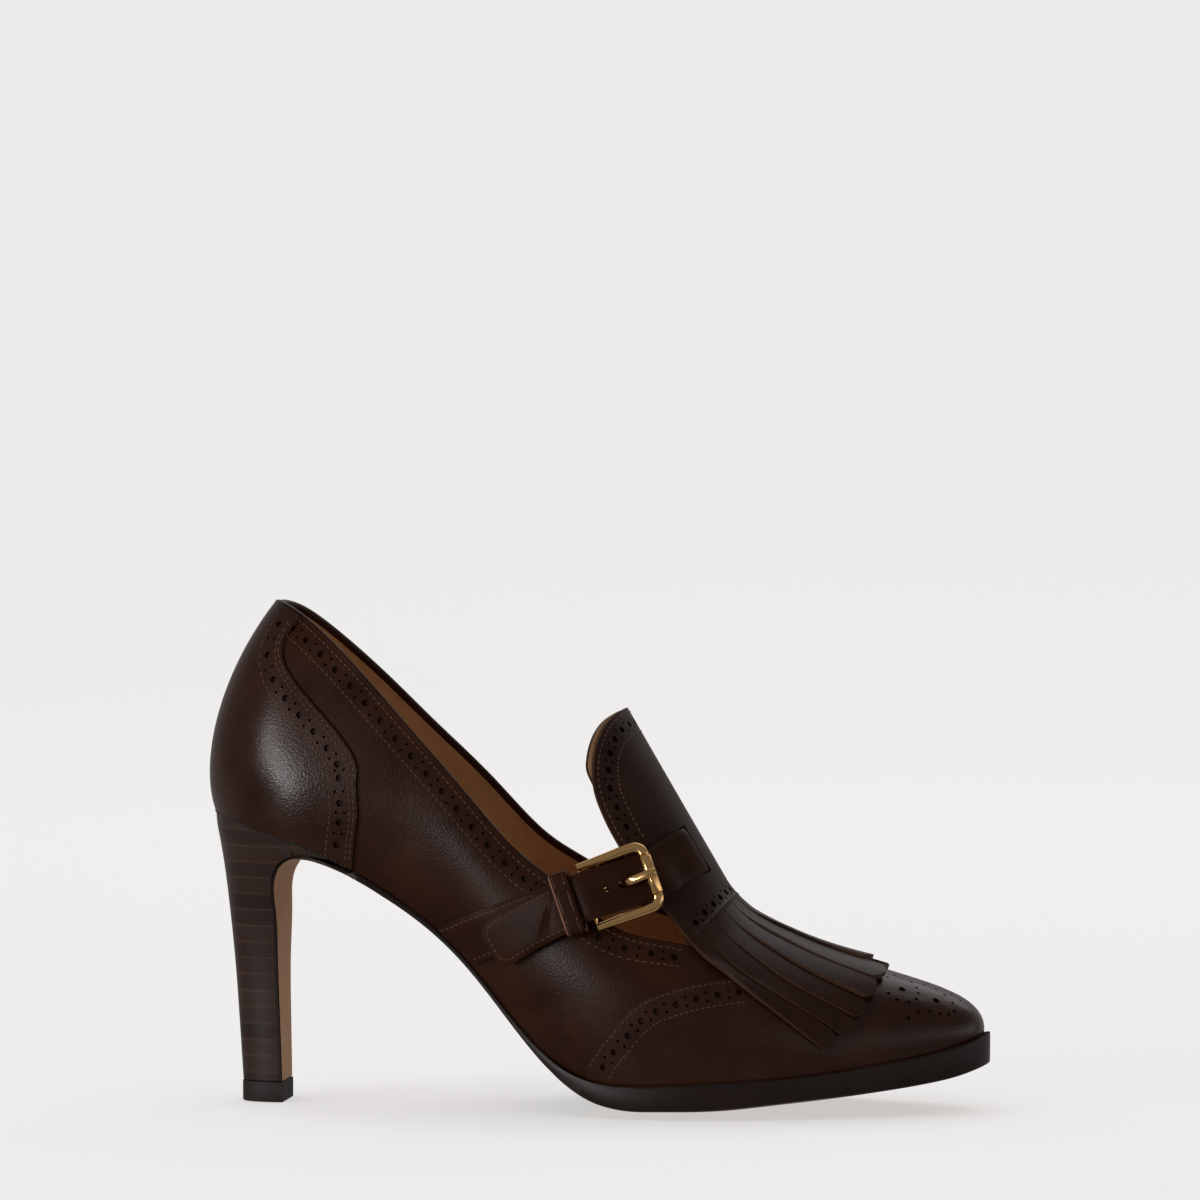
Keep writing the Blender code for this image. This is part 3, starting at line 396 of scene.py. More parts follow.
BIG_HOLE, PINHOLE = 1.05, 0.44              # radii of the punches
PIN_ASIDE = 1.3                             # each pinhole of a pair, from the middle of its row
THREAD = 0.26                               # radius of the sewing thread


def brogue(place, edge, inset, pitch):
    """Brogue row: big round holes at a pitch, with a pair of pinholes across between each two."""
    holes = punched(place, spots_along(place, edge, inset, pitch), BIG_HOLE, 14)
    for side in (-PIN_ASIDE, PIN_ASIDE):
        pins = spots_along(place, edge, inset + side, pitch, 0.5)[:-1]
        holes += punched(place, pins, PINHOLE, 8)
    return holes


def tree_of(points):
    """Search tree over points."""
    tree = KDTree(len(points))
    for index, point in enumerate(points):
        tree.insert(point, index)
    tree.balance()
    return tree


def new_piece(name, points, faces):
    """Piece from points in mm and faces."""
    mesh = bpy.data.meshes.new(name)
    mesh.from_pydata(((np.asarray(points) + CENTRE) * MM).tolist(), [], faces)
    piece = bpy.data.objects.new(name, mesh)
    bpy.context.scene.collection.objects.link(piece)
    return piece


def cut_leather(name, border, holes, spacing, place, thickness, look, extra=()):
    """Leather cut from a flat pattern with its holes, laid on the last and given its thickness inwards; the
    walls of its holes take the face colour instead of the lighter cut edge, as painted shade inside them.
    """
    loops = [np.asarray(border, float)] + list(holes)
    edges, owner = [], []
    for index, loop in enumerate(loops):
        first = len(owner)
        owner += [index] * len(loop)
        edges += [(first + i, first + (i + 1) % len(loop)) for i in range(len(loop))]
    rim = np.vstack(loops)
    near = tree_of(np.c_[rim, np.zeros(len(rim))])
    low, high = rim.min(0), rim.max(0)
    x, y = np.meshgrid(np.arange(low[0], high[0], spacing), np.arange(low[1], high[1], spacing))
    x[1::2] += spacing / 2
    inner = [p for p in np.c_[x.ravel(), y.ravel()] if near.find((*p, 0.0))[2] > 0.55 * spacing]
    inner = np.array(inner + list(extra))
    within = np.zeros(len(inner), bool)
    for loop in holes:
        for (x0, y0), (x1, y1) in zip(loop, np.roll(loop, -1, 0)):
            level = (y0 > inner[:, 1]) != (y1 > inner[:, 1])
            within ^= level & (inner[:, 0] < x0 + (x1 - x0) * (inner[:, 1] - y0) / (y1 - y0 + 1e-9))
    inner = inner[~within]
    owner = np.array(owner + [0] * len(inner))
    points = np.vstack([rim, inner]).tolist()
    found = delaunay_2d_cdt([Vector(p) for p in points], edges, [], 1, 1e-7)
    flat = np.array([p[:] for p in found[0]])
    source = np.array([owner[ids[0]] if ids else 0 for ids in found[3]])
    faces = [f for f in found[2] if not (source[f[0]] > 0 and len(set(source[list(f)])) == 1)]
    piece = new_piece(name, place(flat), faces)
    edit_all(piece, (bpy.ops.mesh.delete_loose, {}), (bpy.ops.mesh.select_all, {"action": "SELECT"}), WELD)
    for side in (look, raw_edge_look):
        piece.data.materials.append(side)
    thicken(piece, thickness, 1)
    # Walls of punched holes and slits take the dark face colour, not the cut edge's lighter brown: painted
    # shade inside the holes.
    edges_at = tree_of((place(rim) + CENTRE) * MM)
    for face in piece.data.polygons:
        if face.material_index and owner[edges_at.find(face.center)[1]]:
            face.material_index = 0
    return piece


def sewn(name, rows):
    """Rows of short thread stitches, each row given as points and outward directions at the needle holes."""
    pick()
    bpy.ops.mesh.primitive_uv_sphere_add(segments=6, ring_count=5, radius=1.0, rotation=(0, math.pi / 2, 0))
    stitch = bpy.context.object
    bpy.ops.object.transform_apply(rotation=True)
    shape = np.array([v.co[:] for v in stitch.data.vertices])
    shape[:, 2] -= 0.5 * shape[:, 0] ** 2
    sides = sorted(tuple(f.vertices) for f in stitch.data.polygons)
    bpy.data.objects.remove(stitch)
    points, faces = [], []
    for holes, out in rows:
        middle = (holes[1:] + holes[:-1]) / 2
        along = (holes[1:] - holes[:-1]) / 2 * 0.8
        out = unit(out[1:] + out[:-1])
        across = unit(np.cross(out, along))
        for at, ahead, side, up in zip(middle, along, across, out):
            faces += [tuple(i + len(points) for i in f) for f in sides]
            points += list(at + shape @ np.array([ahead, THREAD * side, THREAD * up]))
    piece = new_piece(name, points, faces)
    piece.data.shade_smooth()
    piece.data.materials.append(thread_and_glint_look)
    return piece


def stitch_row(place, edge, inset, pitch=2.0, keep=None):
    """Needle holes along an edge and the outward direction at each."""
    flat = spots_along(place, edge, inset, pitch)
    if keep is not None:
        flat = flat[keep(flat)]
    return place(flat), slopes(place, flat)[2]


def upper_face(flat):
    return wall(flat[:, 0] / PATTERN[0], flat[:, 1] / PATTERN[1])


def edge_of(turns, heights):
    """Line on the wall in pattern millimetres."""
    turns, heights = np.broadcast_arrays(turns, heights)
    return np.c_[turns * PATTERN[0], heights * PATTERN[1]]


# Aniline calf: near-black espresso brown with a redder cast where the dye is thin, satin and finely pebbled.
calf_look = leather("brown_calf_leather", "#2F170C", "#422516", 0.31, 0.0, 0.55, 0.09, 0.14)
# Cut edge of the same leather, where the undyed core shows a lighter brown.
raw_edge_look = leather("cut_calf_edge", "#4C3325", "#5A4030", 0.55, 0.0, 0.4, 0.05)
# Bonded nylon sewing thread dyed brown, a little shinier than the leather; its colour is kept lighter than
# the leather's as a painted highlight, for the glints along the stitches.
thread_and_glint_look = leather("brown_thread_and_painted_glint", "#5C4030", "#6E5040", 0.42, 0.0, 0.25, 0.03)

topline_lateral = edge_of(np.linspace(-corner_u - 0.008, -0.915, 160), 1.0)
topline_medial = edge_of(np.linspace(0.915, corner_u + 0.008, 160), 1.0)
upper_holes = brogue(upper_face, topline_lateral, 4.9, 7.2) + brogue(upper_face, topline_medial, 4.9, 7.2)
turns = np.linspace(-1, 1, 271)
upper_border = np.vstack([edge_of(turns, 0.0), edge_of(1.0, np.linspace(0, 1, 32)[1:-1]),
                          edge_of(turns[::-1], 1.0), edge_of(-1.0, np.linspace(1, 0, 32)[1:-1])])
upper = cut_leather("upper_leather", upper_border, upper_holes, 2.3, upper_face, UPPER_THICK, calf_look)
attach(upper, "root")
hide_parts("upper")
topline_rows = []
for edge in (topline_lateral, topline_medial):
    topline_rows += [stitch_row(upper_face, edge, inset) for inset in (1.9, 7.8)]
topline_stitches = sewn("topline_stitches", topline_rows)
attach(topline_stitches, "root")


# Lining and topline binding: tan leather inside the whole upper, and the calf turned over the topline
# and stitched down inside it as a narrow facing.
LINING_DEPTH = 1.25
LINING_THICK = 0.55


def lining_face(round_share, up):
    return off_wall(2 * round_share - 1, 0.01 + 0.975 * up, -LINING_DEPTH)


# The lining's outer face shows only through the brogue holes and takes the dark calf colour there as painted
# shade; its inner face is the tan lining.
lining = laid_grid("quarter_lining", 220, 26, lining_face, calf_look, lining_look)
thicken(lining, LINING_THICK, 1, 1)
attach(lining, "root")

FOLD = np.array(((0.05, 0.9), (0.1, 0.4), (0.0, -0.05), (-0.35, -0.38), (-0.95, -0.45), (-1.55, -0.3),
                 (-1.9, 0.1), (-2.0, 0.5), (-2.02, 1.0), (-2.02, 1.4), (-1.85, 1.7)))     # out and down
fold_path = cubic(np.linspace(0, 1, len(FOLD)), FOLD)


def binding_face(round_share, over):
    u = corner_u + 0.002 + (2 - 2 * corner_u - 0.004) * round_share
    top = np.ones(len(u))
    step = 1e-3
    edge = wall(u, top)
    out = unit(off_wall(u, top - 0.01, 1.0) - wall(u, top - 0.01))
    ahead = unit(wall(u + step, top) - wall(u - step, top))
    down = unit(np.cross(ahead, out))
    move = fold_path(over)
    return edge + out * move[:, 0:1] + down * move[:, 1:2]


binding = laid_grid("topline_binding", 260, 20, binding_face, calf_look)
thicken(binding, 0.25)
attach(binding, "root")


# Heel counter: a second layer of calf round the heel, its two front edges in a swan-neck curve, sewn down
# with a double row at the edge and a single row past the brogue holes.
COUNTER_EDGE = ((-70.7, 75.0), (-69.6, 84.0), (-68.8, 91.3), (-69.1, 100.1), (-73.1, 111.6),
                (-83.7, 123.4), (-92.0, 133.5), (-93.2, 140.0), (-88.6, 147.3))    # x and z in the side view
OVERLAY_BASE = 0.2          # off the upper
OVERLAY_THICK = 1.0
# Calf of the overlays: the same brown, polished harder, so that it takes a tighter and brighter sheen.
overlay_look = leather("brown_calf_overlay", "#2D150B", "#402213", 0.24, 0.06, 0.55, 0.09)


def wall_at(x, z, side):
    """u and t of the wall's point at a length and height; side is -1 lateral or 1 medial."""
    u = side * float(np.interp(-x, -outline[:, 0], station_u))
    t = 0.5
    step = 1e-4
    for _ in range(30):
        here, by_u, by_t = wall(np.array([u, u + step, u]), np.array([t, t, t + step]))
        system = np.array([by_u - here, by_t - here])[:, [0, 2]].T / step
        move = np.linalg.solve(system, [x - here[0], z - here[2]])
        u += float(np.clip(move[0], -0.05, 0.05))
        t = float(np.clip(t + np.clip(move[1], -0.2, 0.2), 0.0, 1.0))
    return u, t


def overlay_face(flat):
    return off_wall(flat[:, 0] / PATTERN[0], flat[:, 1] / PATTERN[1], OVERLAY_BASE + OVERLAY_THICK)


counter_sides = []
for side in (-1, 1):
    rows = np.array([wall_at(x, z, side) for x, z in COUNTER_EDGE])
    rows = rows[np.argsort(rows[:, 1])]
    counter_sides.append(cubic(rows[:, 1], np.abs(rows[:, 0])))
heights = np.linspace(0.006, 0.99, 70)
counter_lateral = edge_of(2 - counter_sides[0](heights)[:, 0], heights)
counter_medial = edge_of(counter_sides[1](heights[::-1])[:, 0], heights[::-1])
low_edge = np.linspace(counter_medial[-1], counter_lateral[0], 60)[1:-1]
high_edge = np.linspace(counter_lateral[-1], counter_medial[0], 40)[1:-1]
counter_border = np.vstack([low_edge, counter_lateral, high_edge, counter_medial])
counter_holes = []
counter_rows = []
for edge in (counter_lateral, counter_medial):
    inside = edge[5:-2] if edge is counter_lateral else edge[2:-5]
    counter_holes += brogue(overlay_face, inside, 5.1, 6.8)
    counter_rows += [stitch_row(overlay_face, edge[2:-2], inset) for inset in (0.9, 2.1, 8.2)]
counter = cut_leather("heel_counter_leather", counter_border, counter_holes, 2.0, overlay_face,
                      OVERLAY_THICK, overlay_look)
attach(counter, "root")
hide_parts("heel_counter")
counter_stitches = sewn("counter_stitches", counter_rows)
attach(counter_stitches, "root")


# Toe wing: the wing-shaped layer of calf over the toe, edged like the counter, with a medallion of
# punched holes on the toe.
WING_EDGE = ((1.0, 14.0), (3.5, 18.5), (8.2, 24.7), (13.4, 31.0), (19.4, 36.0), (26.4, 38.8),
             (33.3, 40.5), (40.7, 41.2))
WING_PEAK = 62.0            # where the wing crosses the ridge
MEDALLION_X = 101.0         # middle of the medallion along the ridge
MEDALLION = (           # forward, to one side, radius; the other side mirrors it
    (-8.0, 0.0, 0.55), (-4.4, 0.0, 0.55), (-0.8, 0.0, 0.55), (3.0, 0.0, 0.55), (12.3, 0.0, 0.55),
    (-10.9, 4.5, 0.55), (6.7, 3.2, 0.55), (10.0, 4.7, 0.55), (-12.3, 9.1, 0.55), (-5.2, 6.8, 0.55),
    (-1.6, 5.2, 0.55), (2.5, 5.6, 0.55), (5.5, 7.2, 0.55), (8.9, 9.6, 0.55),
    (-6.3, 14.1, 1.1), (-2.9, 9.9, 0.55), (-1.4, 12.9, 0.55), (-9.2, 18.4, 0.55), (-5.9, 19.6, 0.55),
    (-2.4, 18.7, 0.55), (-0.9, 16.1, 0.55),
    (4.4, 12.7, 1.1), (2.0, 20.6, 0.55), (4.9, 18.2, 0.55), (8.0, 16.9, 0.55), (10.3, 15.2, 0.55),
    (10.9, 12.6, 0.55), (0.7, 24.0, 0.55),
)
rows = []
for side in (-1, 1):
    half = [wall_at(x, z, side) for x, z in WING_EDGE]
    rows += half if side < 0 else half[::-1]
ridge_t = np.linspace(0, 1, 200)
ridge_line = wall(np.zeros(200), ridge_t)
rows.insert(len(WING_EDGE), (0.0, float(np.interp(-WING_PEAK, -ridge_line[:, 0], ridge_t))))
rows = np.array(rows)
wing_line = cubic(rows[:, 0], rows[:, 1])
wing_turns = np.linspace(rows[0, 0] + 0.004, rows[-1, 0] - 0.004, 190)
wing_low = 0.006
wing_top = edge_of(wing_turns[::-1], np.maximum(wing_line(wing_turns[::-1])[:, 0], wing_low + 0.012))
wing_border = np.vstack([edge_of(wing_turns, wing_low), wing_top])


def off_feather(flat):
    return flat[:, 1] > 0.03 * PATTERN[1]


medallion_holes = []
ridge_length = run(ridge_line)
middle_length = np.interp(-MEDALLION_X, -ridge_line[:, 0], ridge_length)
for forward, aside, radius in MEDALLION:
    t = np.interp(middle_length - forward, ridge_length, ridge_t)
    for side in (-1, 1) if aside else (1,):
        flat = edge_of(np.array([0.0]), t)
        for _ in range(6):
            by_x, by_y, out = slopes(overlay_face, flat)
            across = unit(np.cross(out, np.cross(medial_way, out)))
            flat = flat + flat_step(by_x, by_y, across * side * aside / 6)
        medallion_holes += punched(overlay_face, flat, radius, 14 if radius > 0.6 else 8)
wing_holes = [h for h in brogue(overlay_face, wing_top, 4.8, 6.8) if off_feather(h).all()]
wing = cut_leather("toe_wing_leather", wing_border, wing_holes + medallion_holes, 1.9, overlay_face,
                   OVERLAY_THICK, overlay_look)
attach(wing, "root")
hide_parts("toe_wing")
wing_rows = [stitch_row(overlay_face, wing_top, inset, 1.9, off_feather) for inset in (1.1, 8.0)]
wing_stitches = sewn("wing_stitches", wing_rows)
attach(wing_stitches, "root")


# Tongue lining: the upright panel of tan leather behind the kiltie, sewn to it and let into the throat;
# the strap presses it in a little where it passes under the kiltie's bridge.
TONGUE_TOP = 67.0
SHOULDER = 46.0             # where the sides start to round over into the top
TONGUE_THICK = 1.6
TONGUE_SHY, TONGUE_PAST = -0.9, 1.4     # its edge against the kiltie's: hidden low down, past it near the top
CRESCENT = 50.0             # where the edge starts to show
STRAP_HEIGHT = 19.5         # where the strap crosses, up from the throat
STRAP_WIDTH = 14.8
STRAP_THICK = 1.4
PRESS = 2.0
BRIDGE_HALF = 10.9
BRIDGE_SHIFT = 2.0          # the slits lie a little to the inner side
tongue_half = cubic((-6.0, 0.0, 15.0, 32.0, 46.0, 58.0), (34.0, 34.2, 35.0, 35.0, 33.7, 30.8))


def crown(turn):
    """Rounded top of tongue and kiltie: share across and height, by the turn over it from the inner side."""
    cosine, sine = np.cos(turn), np.abs(np.sin(turn))
    return np.sign(cosine) * np.abs(cosine) ** 0.55, SHOULDER + (TONGUE_TOP - SHOULDER) * sine ** 0.85


crown_share, crown_up = crown(np.linspace(math.pi, 0, 181))


def under_bridge(across, up):
    """1 where the strap runs between the tongue and the kiltie, fading to 0 round about."""
    beside = ease((np.abs(across - BRIDGE_SHIFT) - BRIDGE_HALF) / 4.2)
    above = ease((np.abs(up - STRAP_HEIGHT) - STRAP_WIDTH / 2 - 1.0) / 9.0)
    return (1 - beside) * (1 - above)


def tongue_face(across, up):
    share = np.sin((across - 0.5) * math.pi)
    foot = throat_line(share * THROAT_HALF) + 0.6
    top = np.interp(share, crown_share, crown_up) + 0.9 * np.abs(share)
    up = foot + (top - foot) * up
    past = TONGUE_SHY + (TONGUE_PAST - TONGUE_SHY) * ease((up - CRESCENT) / 8)
    across = share * (tongue_half(up)[:, 0] + past)
    point, out = instep(across, up)
    return point - out * (PRESS * under_bridge(across, up))[:, None]


tongue_columns, tongue_rows = 64, 66
tongue = laid_grid("tongue_lining", tongue_columns, tongue_rows, tongue_face,
                   calf_look, lining_look, lining_look)
# The middle of its outer face, hidden behind the kiltie and seen only through the kiltie's holes and slits,
# takes the dark calf colour as painted shade; the border that shows past the kiltie stays tan.
for index, face in enumerate(tongue.data.polygons):
    row, column = divmod(index, tongue_columns)
    face.material_index = 0 if 7 < column < tongue_columns - 8 and row < tongue_rows - 4 else 1
thicken(tongue, TONGUE_THICK, -1, 1)
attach(tongue, "root")
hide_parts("tongue")


# Kiltie: one piece of calf over the tongue, its shield edged with brogue holes and its lower half cut into
# strips that hang as a fringe over the vamp. Two slits let the strap through under a bridge.
KILTIE_THICK = 1.2
FRINGE_STRIPS = 11
STRIP_THICK = 1.6
WING_STEP = 1.1             # the strips lift this much to clear the wing's edge
SHINGLE = 0.34              # tilt of a strip at its edges
BEND = 6.0                  # length over which the leather bends from the instep to the vamp
# Calf of the kiltie: a cooler, drier brown with a coarser grain, so that the fringe stays matt.
kiltie_look = leather("brown_calf_kiltie", "#2A170F", "#3A2217", 0.36, 0.0, 0.7, 0.06, 0.14)
fan = cubic((0.0, 0.2, 0.3, 0.4, 0.5, 0.6, 0.7, 0.81, 0.95, 1.0),      # how the strips spread down the vamp
            (1.26, 1.362, 1.398, 1.411, 1.403, 1.375, 1.31, 1.195, 1.06, 1.0))
vamp_shares = np.linspace(-1.02, 1.02, 69)
vamp_reach = np.arange(0.0, 80.0, 1.0)
vamp_t, strip_ends = [], []
for share in vamp_shares:
    t = np.linspace(1, 0.03, 120)
    line = wall(share * corner_u * fan(t)[:, 0], t)
    length = run(line)
    vamp_t.append(np.interp(vamp_reach, length, t))
    strip_ends.append(np.interp(0.42 * abs(share) - 0.605, -t, length))
vamp_t = np.array(vamp_t)


def vamp_place(share, reach, height):
    """Point over the vamp below a share of the throat, at a length down from it."""
    i = np.clip((share - vamp_shares[0]) / (vamp_shares[1] - vamp_shares[0]), 0, len(vamp_shares) - 1.001)
    j = np.clip(reach, 0, len(vamp_reach) - 1.001)
    a, b = i.astype(int), j.astype(int)
    i, j = i - a, j - b
    t = ((1 - i) * ((1 - j) * vamp_t[a, b] + j * vamp_t[a, b + 1]) +
         i * ((1 - j) * vamp_t[a + 1, b] + j * vamp_t[a + 1, b + 1]))
    return off_wall(share * corner_u * fan(t)[:, 0], t, height)


def shield_place(share, up, height):
    """Point over the tongue; the kiltie lifts over the strap between the slits."""
    across = share * tongue_half(up)[:, 0]
    point, out = instep(across, up)
    rise = STRAP_THICK + 0.6 - PRESS
    return point + out * (0.3 + rise * under_bridge(across, up) + height)[:, None]


strip_pitch = 2 * THROAT_HALF / FRINGE_STRIPS


def strip_height(flat, reach):
    """Height of the fringe: flat strips, tilted like shingles, each lifting its own way to its tip."""
    place = (flat[:, 0] + THROAT_HALF) / strip_pitch
    index = np.clip(np.floor(place), 0, FRINGE_STRIPS - 1)
    beside = 2 * (place - index) - 1
    down = np.clip(reach / np.interp(flat[:, 0] / THROAT_HALF, vamp_shares, strip_ends), 0, 1)
    own = 0.5 + 0.5 * np.sin(2.4 * index + 0.8)
    middle = (FRINGE_STRIPS - 1) / 2
    on_ridge = 1 - np.abs(index - middle) / middle
    near = np.where(index <= middle, 1.0, 0.2)
    lift = WING_STEP * ease(2.2 * down) + (0.6 + 0.8 * own + 0.6 * on_ridge) * near * down ** 2
    outer = np.where(index < FRINGE_STRIPS / 2, 1.0, -1.0)
    tilt = -SHINGLE * beside * outer * ease(down * 3)
    return 0.3 + STRIP_THICK + lift + tilt


def kiltie_face(flat):
    share = flat[:, 0] / THROAT_HALF
    root = throat_line(flat[:, 0])
    above = flat[:, 1] - root
    on_shield = shield_place(share, np.maximum(flat[:, 1], root + BEND), KILTIE_THICK)
    reach = np.maximum(-above, BEND)
    height = strip_height(flat, reach)
    on_vamp = sum(vamp_place(share, reach + step, height) for step in (-3.0, -1.5, 0.0, 1.5, 3.0)) / 5
    knee = shield_place(share, root + 0.9, KILTIE_THICK + 0.4)
    s = np.clip((above + BEND) / (2 * BEND), 0, 1)[:, None]
    bend = (1 - s) ** 2 * on_vamp + 2 * s * (1 - s) * knee + s * s * on_shield
    point = np.where((above > BEND)[:, None], on_shield, bend)
    ridge = instep(flat[:, 0], root)[1] * (0.24 * np.exp(-((above - 0.9) / 0.4) ** 2))[:, None]
    return np.where((above < -BEND)[:, None], on_vamp, point) + ridge


def strip_sides(index):
    """Outline of one strip, down its right side, round its blunt end and up its left side."""
    left = -THROAT_HALF + strip_pitch * index
    right = left + strip_pitch
    middle = (left + right) / 2
    end = np.interp(middle / THROAT_HALF, vamp_shares, strip_ends) + 0.6 * math.sin(1.9 * index)
    down = np.linspace(-0.1, end - 2.2, 46)
    gap = 0.07 + 0.28 * (np.maximum(down, 0) / end) ** 1.5
    point = np.array([(right - 0.5, end - 1.4), (right - 1.5, end - 0.2), (middle, end + 0.6),
                      (left + 1.5, end - 0.2), (left + 0.5, end - 1.4)])
    ends = np.vstack([np.c_[right - gap, down], point, np.c_[left + gap, down][::-1]])
    ends[:, 1] = throat_line(ends[:, 0]) - ends[:, 1]
    return ends


side_up = np.linspace(-4.5, SHOULDER, 42)
top_share, top_up = crown(np.linspace(0, math.pi, 90))
kiltie_left = np.c_[np.full(42, -THROAT_HALF), side_up][::-1]
kiltie_right = np.c_[np.full(42, THROAT_HALF), side_up]
kiltie_top = np.c_[top_share * THROAT_HALF, top_up][1:-1]
fringe_outline = np.vstack([strip_sides(i)[::-1] for i in range(FRINGE_STRIPS)])
kiltie_border = np.vstack([kiltie_right, kiltie_top, kiltie_left, fringe_outline])
shield_edge = np.vstack([kiltie_right[8:], kiltie_top, kiltie_left[:-8]])
root_shares = np.linspace(-0.92, 0.92, 80)
root_edge = np.c_[root_shares * THROAT_HALF, throat_line(root_shares * THROAT_HALF) + 3.6]
kiltie_holes = brogue(kiltie_face, shield_edge[5:-5], 4.9, 7.0) + brogue(kiltie_face, root_edge, 0.0, 5.6)
SLITS = ((-12.7, -8.5), (12.5, 16.7))       # where each slit starts and ends across the pattern
SLIT_HALF = 7.9
slit_up = np.linspace(STRAP_HEIGHT - SLIT_HALF, STRAP_HEIGHT + SLIT_HALF, 14)
for near, far in SLITS:
    sides = np.c_[np.full(14, near), slit_up], np.c_[np.full(14, far), slit_up[::-1]]
    kiltie_holes.append(np.vstack(sides))
ridge_across, ridge_up = np.meshgrid(np.arange(-33.2, 33.3, 1.0), (0.3, 0.6, 0.9, 1.2, 1.5))
ridge_points = np.c_[ridge_across.ravel(), ridge_up.ravel() + throat_line(ridge_across.ravel())]
kiltie = cut_leather("kiltie_leather", kiltie_border, kiltie_holes, 1.35, kiltie_face, STRIP_THICK,
                     kiltie_look, ridge_points)
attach(kiltie, "root")
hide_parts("kiltie")


def above_strap(flat):
    return flat[:, 1] > STRAP_HEIGHT + 9


kiltie_rows = [stitch_row(kiltie_face, shield_edge, inset, 2.0, above_strap) for inset in (1.5, 8.2)]
kiltie_stitches = sewn("kiltie_stitches", kiltie_rows)
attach(kiltie_stitches, "root")


# Strap base: the short billet of calf sewn to the outer quarter, which carries the buckle on its end.
# It starts near the feather edge and runs up and forward over the topline.
BILLET_ROUTE = ((-39.0, 50.6), (-33.0, 53.0), (-25.8, 55.8), (-17.0, 59.2))     # x and z in the side view
STRAP_ROOT = 0.6
ROOT_SLANT = 3.3
BUCKLE_CENTRE = np.array([11.8, -37.3, 69.7])
BUCKLE_LONG = 10.0
BUCKLE_WIDE = 9.5
YAW, PITCH, ROLL = (math.radians(a) for a in (5.0, 20.2, 12.0))
# Calf of the straps: the same brown with a dull finish, so that little of the lamps shows in it.
strap_look = leather("brown_calf_strap", "#2F190F", "#402519", 0.37, 0.0, 0.55, 0.06, 0.07)
buckle_along = np.array([math.cos(PITCH) * math.cos(YAW), math.cos(PITCH) * math.sin(YAW), math.sin(PITCH)])
level = np.array([math.sin(YAW), -math.cos(YAW), 0.0])
buckle_out = math.cos(ROLL) * level + math.sin(ROLL) * np.cross(level, buckle_along)
buckle_across = np.cross(buckle_out, buckle_along)


def buckle_point(along, across, out):
    return BUCKLE_CENTRE + along * buckle_along + across * buckle_across + out * buckle_out


def route(stops):
    """Length of a strap's middle line by its stops, and its place and outward direction by length."""
    points, outs = (np.array(column, float) for column in zip(*stops))
    knots = run(points)
    return knots[-1], cubic(knots, points), cubic(knots, outs)


def heading(path, where, step=0.1):
    """Direction of a path at a length along it."""
    return unit(path(where + step) - path(where - step))


def strap_start(side):
    """First stops of a strap up the quarter from the feather edge: places and outward directions."""
    turns, heights = np.array([wall_at(x, z, side) for x, z in BILLET_ROUTE]).T
    out = off_wall(turns, heights, 1.0) - wall(turns, heights)
    return list(zip(off_wall(turns, heights, 0.7 + STRAP_THICK / 2), out))


def ribbon_face(line, flat, half, relief):
    """Outer face of a strap: crowned across, with its edges rolled down."""
    _, path, normals = line
    s, w = flat[:, 0], flat[:, 1]
    ahead = heading(path, s)
    across = unit(np.cross(unit(normals(s)), ahead))
    out = np.cross(ahead, across)
    rolled = 0.1 - 0.5 * np.clip(np.abs(w) / half, 0, 1.02) ** 7
    return path(s) + across * w[:, None] + out * (STRAP_THICK / 2 + rolled + relief)[:, None]


billet_stops = strap_start(-1)
for behind, height in ((7.0, -0.4), (2.8, -0.2)):
    billet_stops.append((buckle_point(-BUCKLE_LONG - behind, 0, height), buckle_out))
billet_line = route(billet_stops)
BILLET_HALF = STRAP_WIDTH / 2 - 0.2


def billet_face(flat):
    return ribbon_face(billet_line, flat, BILLET_HALF, np.zeros(len(flat)))


wide = np.linspace(-1, 1, 12)
billet_root = np.c_[STRAP_ROOT - ROOT_SLANT * wide, BILLET_HALF * wide]
billet_end = np.c_[np.full(12, billet_line[0]), BILLET_HALF * wide]
billet_low = np.linspace(billet_root[0], billet_end[0], 40)
billet_high = np.linspace(billet_end[-1], billet_root[-1], 40)
billet_border = np.vstack([billet_low, billet_end[1:-1], billet_high, billet_root[::-1][1:-1]])
billet = cut_leather("strap_billet_leather", billet_border, [], 1.2, billet_face, STRAP_THICK, strap_look)
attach(billet, "root")
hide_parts("strap_billet")
billet_rows = [stitch_row(billet_face, edge, 1.5, 1.9) for edge in (billet_low, billet_high)]
billet_stitches = sewn("billet_stitches", billet_rows)
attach(billet_stitches, "root")


# Strap: from the inner quarter over the kiltie's edge, through the slits under the bridge, through the
# buckle and back over the billet, where its blunt sewn tail is creased by the pull of the keeper.
TAIL_LENGTH = 30.5          # strap past the end of the billet
TAIL_DROP = 4.5
TAIL_LIFT = 2.3
strap_stops = strap_start(1)
mirrored = np.array([1.0, -1.0, 1.0])
for along, height in ((-BUCKLE_LONG, -0.6), (0.0, -1.5), (BUCKLE_LONG, -2.9)):
    strap_stops.append((buckle_point(along, 0, height) * mirrored, buckle_out * mirrored))
over = KILTIE_THICK + 0.75 + STRAP_THICK / 2
under = 0.3 + STRAP_THICK / 2 - PRESS
crossing = ((27.0, over + 0.5), (22.0, over), (17.0, over - 0.5), (12.0, under), (6.0, under), (0.0, under),
            (-4.0, under), (-8.0, under), (-13.0, over - 0.1), (-19.5, over + 0.5), (-26.0, over + 0.9))
for across, height in crossing:
    point, out = instep(np.array([across]), np.array([STRAP_HEIGHT]))
    strap_stops.append((point[0] + out[0] * height, out[0]))
for along, height in ((BUCKLE_LONG, -2.9), (BUCKLE_LONG - 5.0, -1.9), (0.0, 0.3),
                      (5.0 - BUCKLE_LONG, 2.4), (-BUCKLE_LONG, 3.3)):
    strap_stops.append((buckle_point(along, 0, height), buckle_out))
